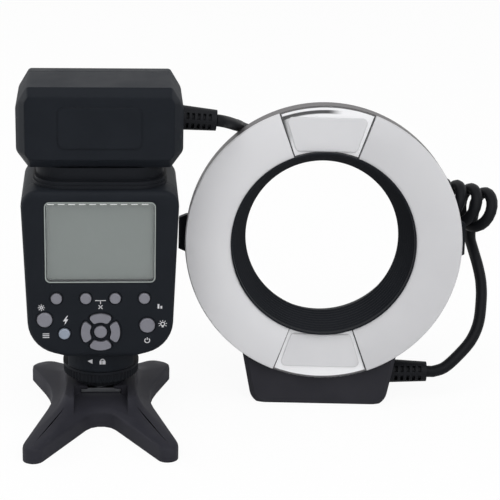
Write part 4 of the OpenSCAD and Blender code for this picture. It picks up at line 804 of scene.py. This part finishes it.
given = add(group, "NodeGroupInput").outputs
head = add(group, "GeometryNodeMeshCylinder", {
    "Vertices": 32, "Radius": given["Radius"], "Depth": given["Height"]})
long, slim = (
    add(group, "Math", {0: given["Radius"], 1: share}, operation="MULTIPLY").outputs[0]
    for share in (CROSS_LONG, CROSS_SLIM))
lift = add(group, "CombineXYZ", {"Z": given["Height"]})
cut = add(group, "GeometryNodeMeshBoolean", {"Mesh 1": head.outputs["Mesh"]},
          operation="DIFFERENCE")
for x, y in ((long, slim), (slim, long)):
    size = add(group, "CombineXYZ", {"X": x, "Y": y, "Z": given["Height"]})
    stroke = add(group, "GeometryNodeMeshCube", {"Size": size.outputs[0]})
    raised = add(group, "GeometryNodeTransform", {
        "Geometry": stroke.outputs["Mesh"], "Translation": lift.outputs[0]})
    group.links.new(raised.outputs[0], cut.inputs["Mesh 2"])
spots = add(group, "GeometryNodeMeshToPoints", {"Mesh": given["Geometry"]})
turn = add(group, "FunctionNodeAlignRotationToVector", {"Vector": given["Facing"]}, axis="Z")
set_on = add(group, "GeometryNodeInstanceOnPoints", {
    "Points": spots.outputs[0], "Instance": cut.outputs["Mesh"], "Rotation": turn.outputs[0]})
real = add(group, "GeometryNodeRealizeInstances", {"Geometry": set_on.outputs[0]})
done = add(group, "GeometryNodeSetMaterial", {
    "Geometry": real.outputs[0], "Material": given["Finish"]})
group.links.new(done.outputs[0], add(group, "NodeGroupOutput").inputs[0])
print("Screw nodes:", len(group.nodes))

# %% [markdown]
# ## Screws
# Screws hold the ring's rear cover and the front shells of the body and the head. Their meshes are
# taken from the nodes' result and kept as plain ones.

# %% Screws
SCREW_R, SCREW_H = 1.9, 0.8
COVER_SCREWS_R = 54
BODY_FRONT_Y, HEAD_FRONT_Y = 25, 20
# A dark metal whose edges catch a thin light.
STEEL_DARK = cloudy("steel_blackened_screw", "#26272a", "#303135", 0.35, 2, metallic=1.0)


def screws(name, places, facing, body):
    mesh = bpy.data.meshes.new(name)
    mesh.from_pydata([tuple(p) for p in places], [], [])
    piece = placed(name, mesh)
    modifier = piece.modifiers.new("screws", "NODES")
    modifier.node_group = group
    for key, value in (("Radius", SCREW_R * MM), ("Height", SCREW_H * MM),
                       ("Facing", tuple(facing)), ("Finish", STEEL_DARK)):
        modifier[socket_of[key]] = value
    seen = piece.evaluated_get(bpy.context.evaluated_depsgraph_get())
    plain = bpy.data.meshes.new_from_object(seen)
    piece.modifiers.clear()
    piece.data = plain
    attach(piece, body)


screws("cover_screws",
       [ring_point(COVER_SCREWS_R * compass(a).x, COVER_OUT, COVER_SCREWS_R * compass(a).y)
        for a in range(20, 380, 60)],
       ring_turned @ Vector((0, 1, 0)), "controller")
screws("body_screws",
       [Vector((x, BODY_FRONT_Y, z)) * MM for x in (-24, 24) for z in (50, 103)],
       (0, 1, 0), "controller")
screws("head_screws",
       [Vector((x, HEAD_FRONT_Y, z)) * MM for x in (-27, 27) for z in (133, 153)],
       (0, 1, 0), "controller")
print("Screws set, each across in mm:", 2 * SCREW_R)

# %% [markdown]
# ## Finishes of the inner nodes
# What sits inside keeps its CAD mesh and only gets its finish.

# %% Inner nodes
INNER = {
    SCREEN: ["display_module"],
    MAT: ["key_mat"],
    BOARD: ["main_board", "box_board"],
    BODY: ["battery_tray"],
    SLEEVE: ["battery_cells", "capacitor"],
    STEEL: ["battery_contacts"],
    GOLD: ["shoe_contacts"],
    SATIN: ["capacitor_cradle"],
    WHITE_BOARD: ["led_boards"],
    PHOSPHOR: ["led_chips"],
}
for material, nodes in INNER.items():
    for node in nodes:
        slots = frame["nodes"][node].data.materials
        slots.clear()
        slots.append(material)
print("Inner nodes finished:", sum(len(n) for n in INNER.values()))

# %% [markdown]
# ## World and floor
# A white product shot: a white floor runs back into a white world. Camera, mirror and glass rays
# see the world as plain white, and other rays get a dimmer one, so that the lights still shape the
# blacks. The floor shines towards the camera to look as white as the world, and keeps a little of
# its own shading, which holds the object's shadow.

# %% World and floor
WHITE = (1, 1, 1, 1)
WORLD_DIM, WORLD_SEEN = 0.4, 1.0
FLOOR_HALF, FLOOR_Z = 6.0, -0.0002
FLOOR_COLOUR, FLOOR_ROUGHNESS = (0.9, 0.9, 0.9, 1), 0.9
FLOOR_GLOW = 0.93

world = bpy.data.worlds.new("studio")
bpy.context.scene.world = world
world.use_nodes = True
tree = world.node_tree
tree.nodes.clear()
ray = add(tree, "LightPath")
clear_sight = add(tree, "Math", {
    0: ray.outputs["Is Camera Ray"], 1: ray.outputs["Is Transmission Ray"]}, operation="MAXIMUM")
sight = add(tree, "Math", {
    0: clear_sight.outputs[0], 1: ray.outputs["Is Glossy Ray"]}, operation="MAXIMUM")
level_of = add(tree, "MapRange", {
    "Value": sight.outputs[0], "To Min": WORLD_DIM, "To Max": WORLD_SEEN})
sky = add(tree, "Background", {"Color": WHITE, "Strength": level_of.outputs[0]})
add(tree, "OutputWorld", {"Surface": sky.outputs[0]})

floor_mesh = bpy.data.meshes.new("floor")
floor_mesh.from_pydata(
    [(x * FLOOR_HALF, y * FLOOR_HALF, 0) for x, y in ((-1, -1), (1, -1), (1, 1), (-1, 1))],
    [], [(0, 1, 2, 3)])
floor = placed("floor", floor_mesh)
floor.location.z = FLOOR_Z
material, tree, shader = finish_of(
    "paper_white_floor", Base_Color=FLOOR_COLOUR, Roughness=FLOOR_ROUGHNESS,
    Specular_IOR_Level=0.0)
ray = add(tree, "LightPath")
glow = add(tree, "Emission", {"Color": WHITE, "Strength": 1.0})
share = add(tree, "Math", {0: ray.outputs["Is Camera Ray"], 1: FLOOR_GLOW}, operation="MULTIPLY")
blend = add(tree, "MixShader", {0: share.outputs[0], 1: shader.outputs[0], 2: glow.outputs[0]})
output = next(n for n in tree.nodes if n.bl_idname == "ShaderNodeOutputMaterial")
tree.links.new(blend.outputs[0], output.inputs["Surface"])
floor_mesh.materials.append(material)
print("Floor in m:", 2 * FLOOR_HALF)

# %% [markdown]
# ## Lights
# Six soft lights, all aimed at the middle of the object. The key in front to the right, the one
# overhead and the left one give most of the light. The left and right ones stand a little behind
# and draw the sides, and the fill and the rim only lift what is left dark. The Standard view shows
# colours as they are.

# %% Lights
AIM = Vector((0.07, 0, 0.08))
LIGHTS = (
    # Name, place in metres, width and height in metres, watts
    ("key_softbox", (0.45, -1.3, 0.95), (1.0, 0.8), 8),
    ("fill_softbox", (-1.0, -1.0, 0.6), (0.8, 0.8), 1),
    ("top_softbox", (0.05, -0.45, 1.3), (1.6, 0.9), 8.5),
    ("left_softbox", (-1.1, 0.4, 0.35), (0.8, 1.0), 6),
    ("rim_softbox", (0.0, 0.9, 0.95), (1.8, 0.7), 1.5),
    ("right_softbox", (1.3, 0.5, 0.3), (0.8, 1.0), 2.5),
)
for name, place, size, watts in LIGHTS:
    light = bpy.data.lights.new(name, "AREA")
    light.shape = "RECTANGLE"
    light.size, light.size_y = size
    light.energy = watts
    lamp = placed(name, light)
    lamp.location = place
    lamp.rotation_euler = (AIM - Vector(place)).to_track_quat("-Z", "Y").to_euler()
bpy.context.scene.view_settings.view_transform = "Standard"
print("Lights:", len(LIGHTS), "watts in all:", sum(row[-1] for row in LIGHTS))
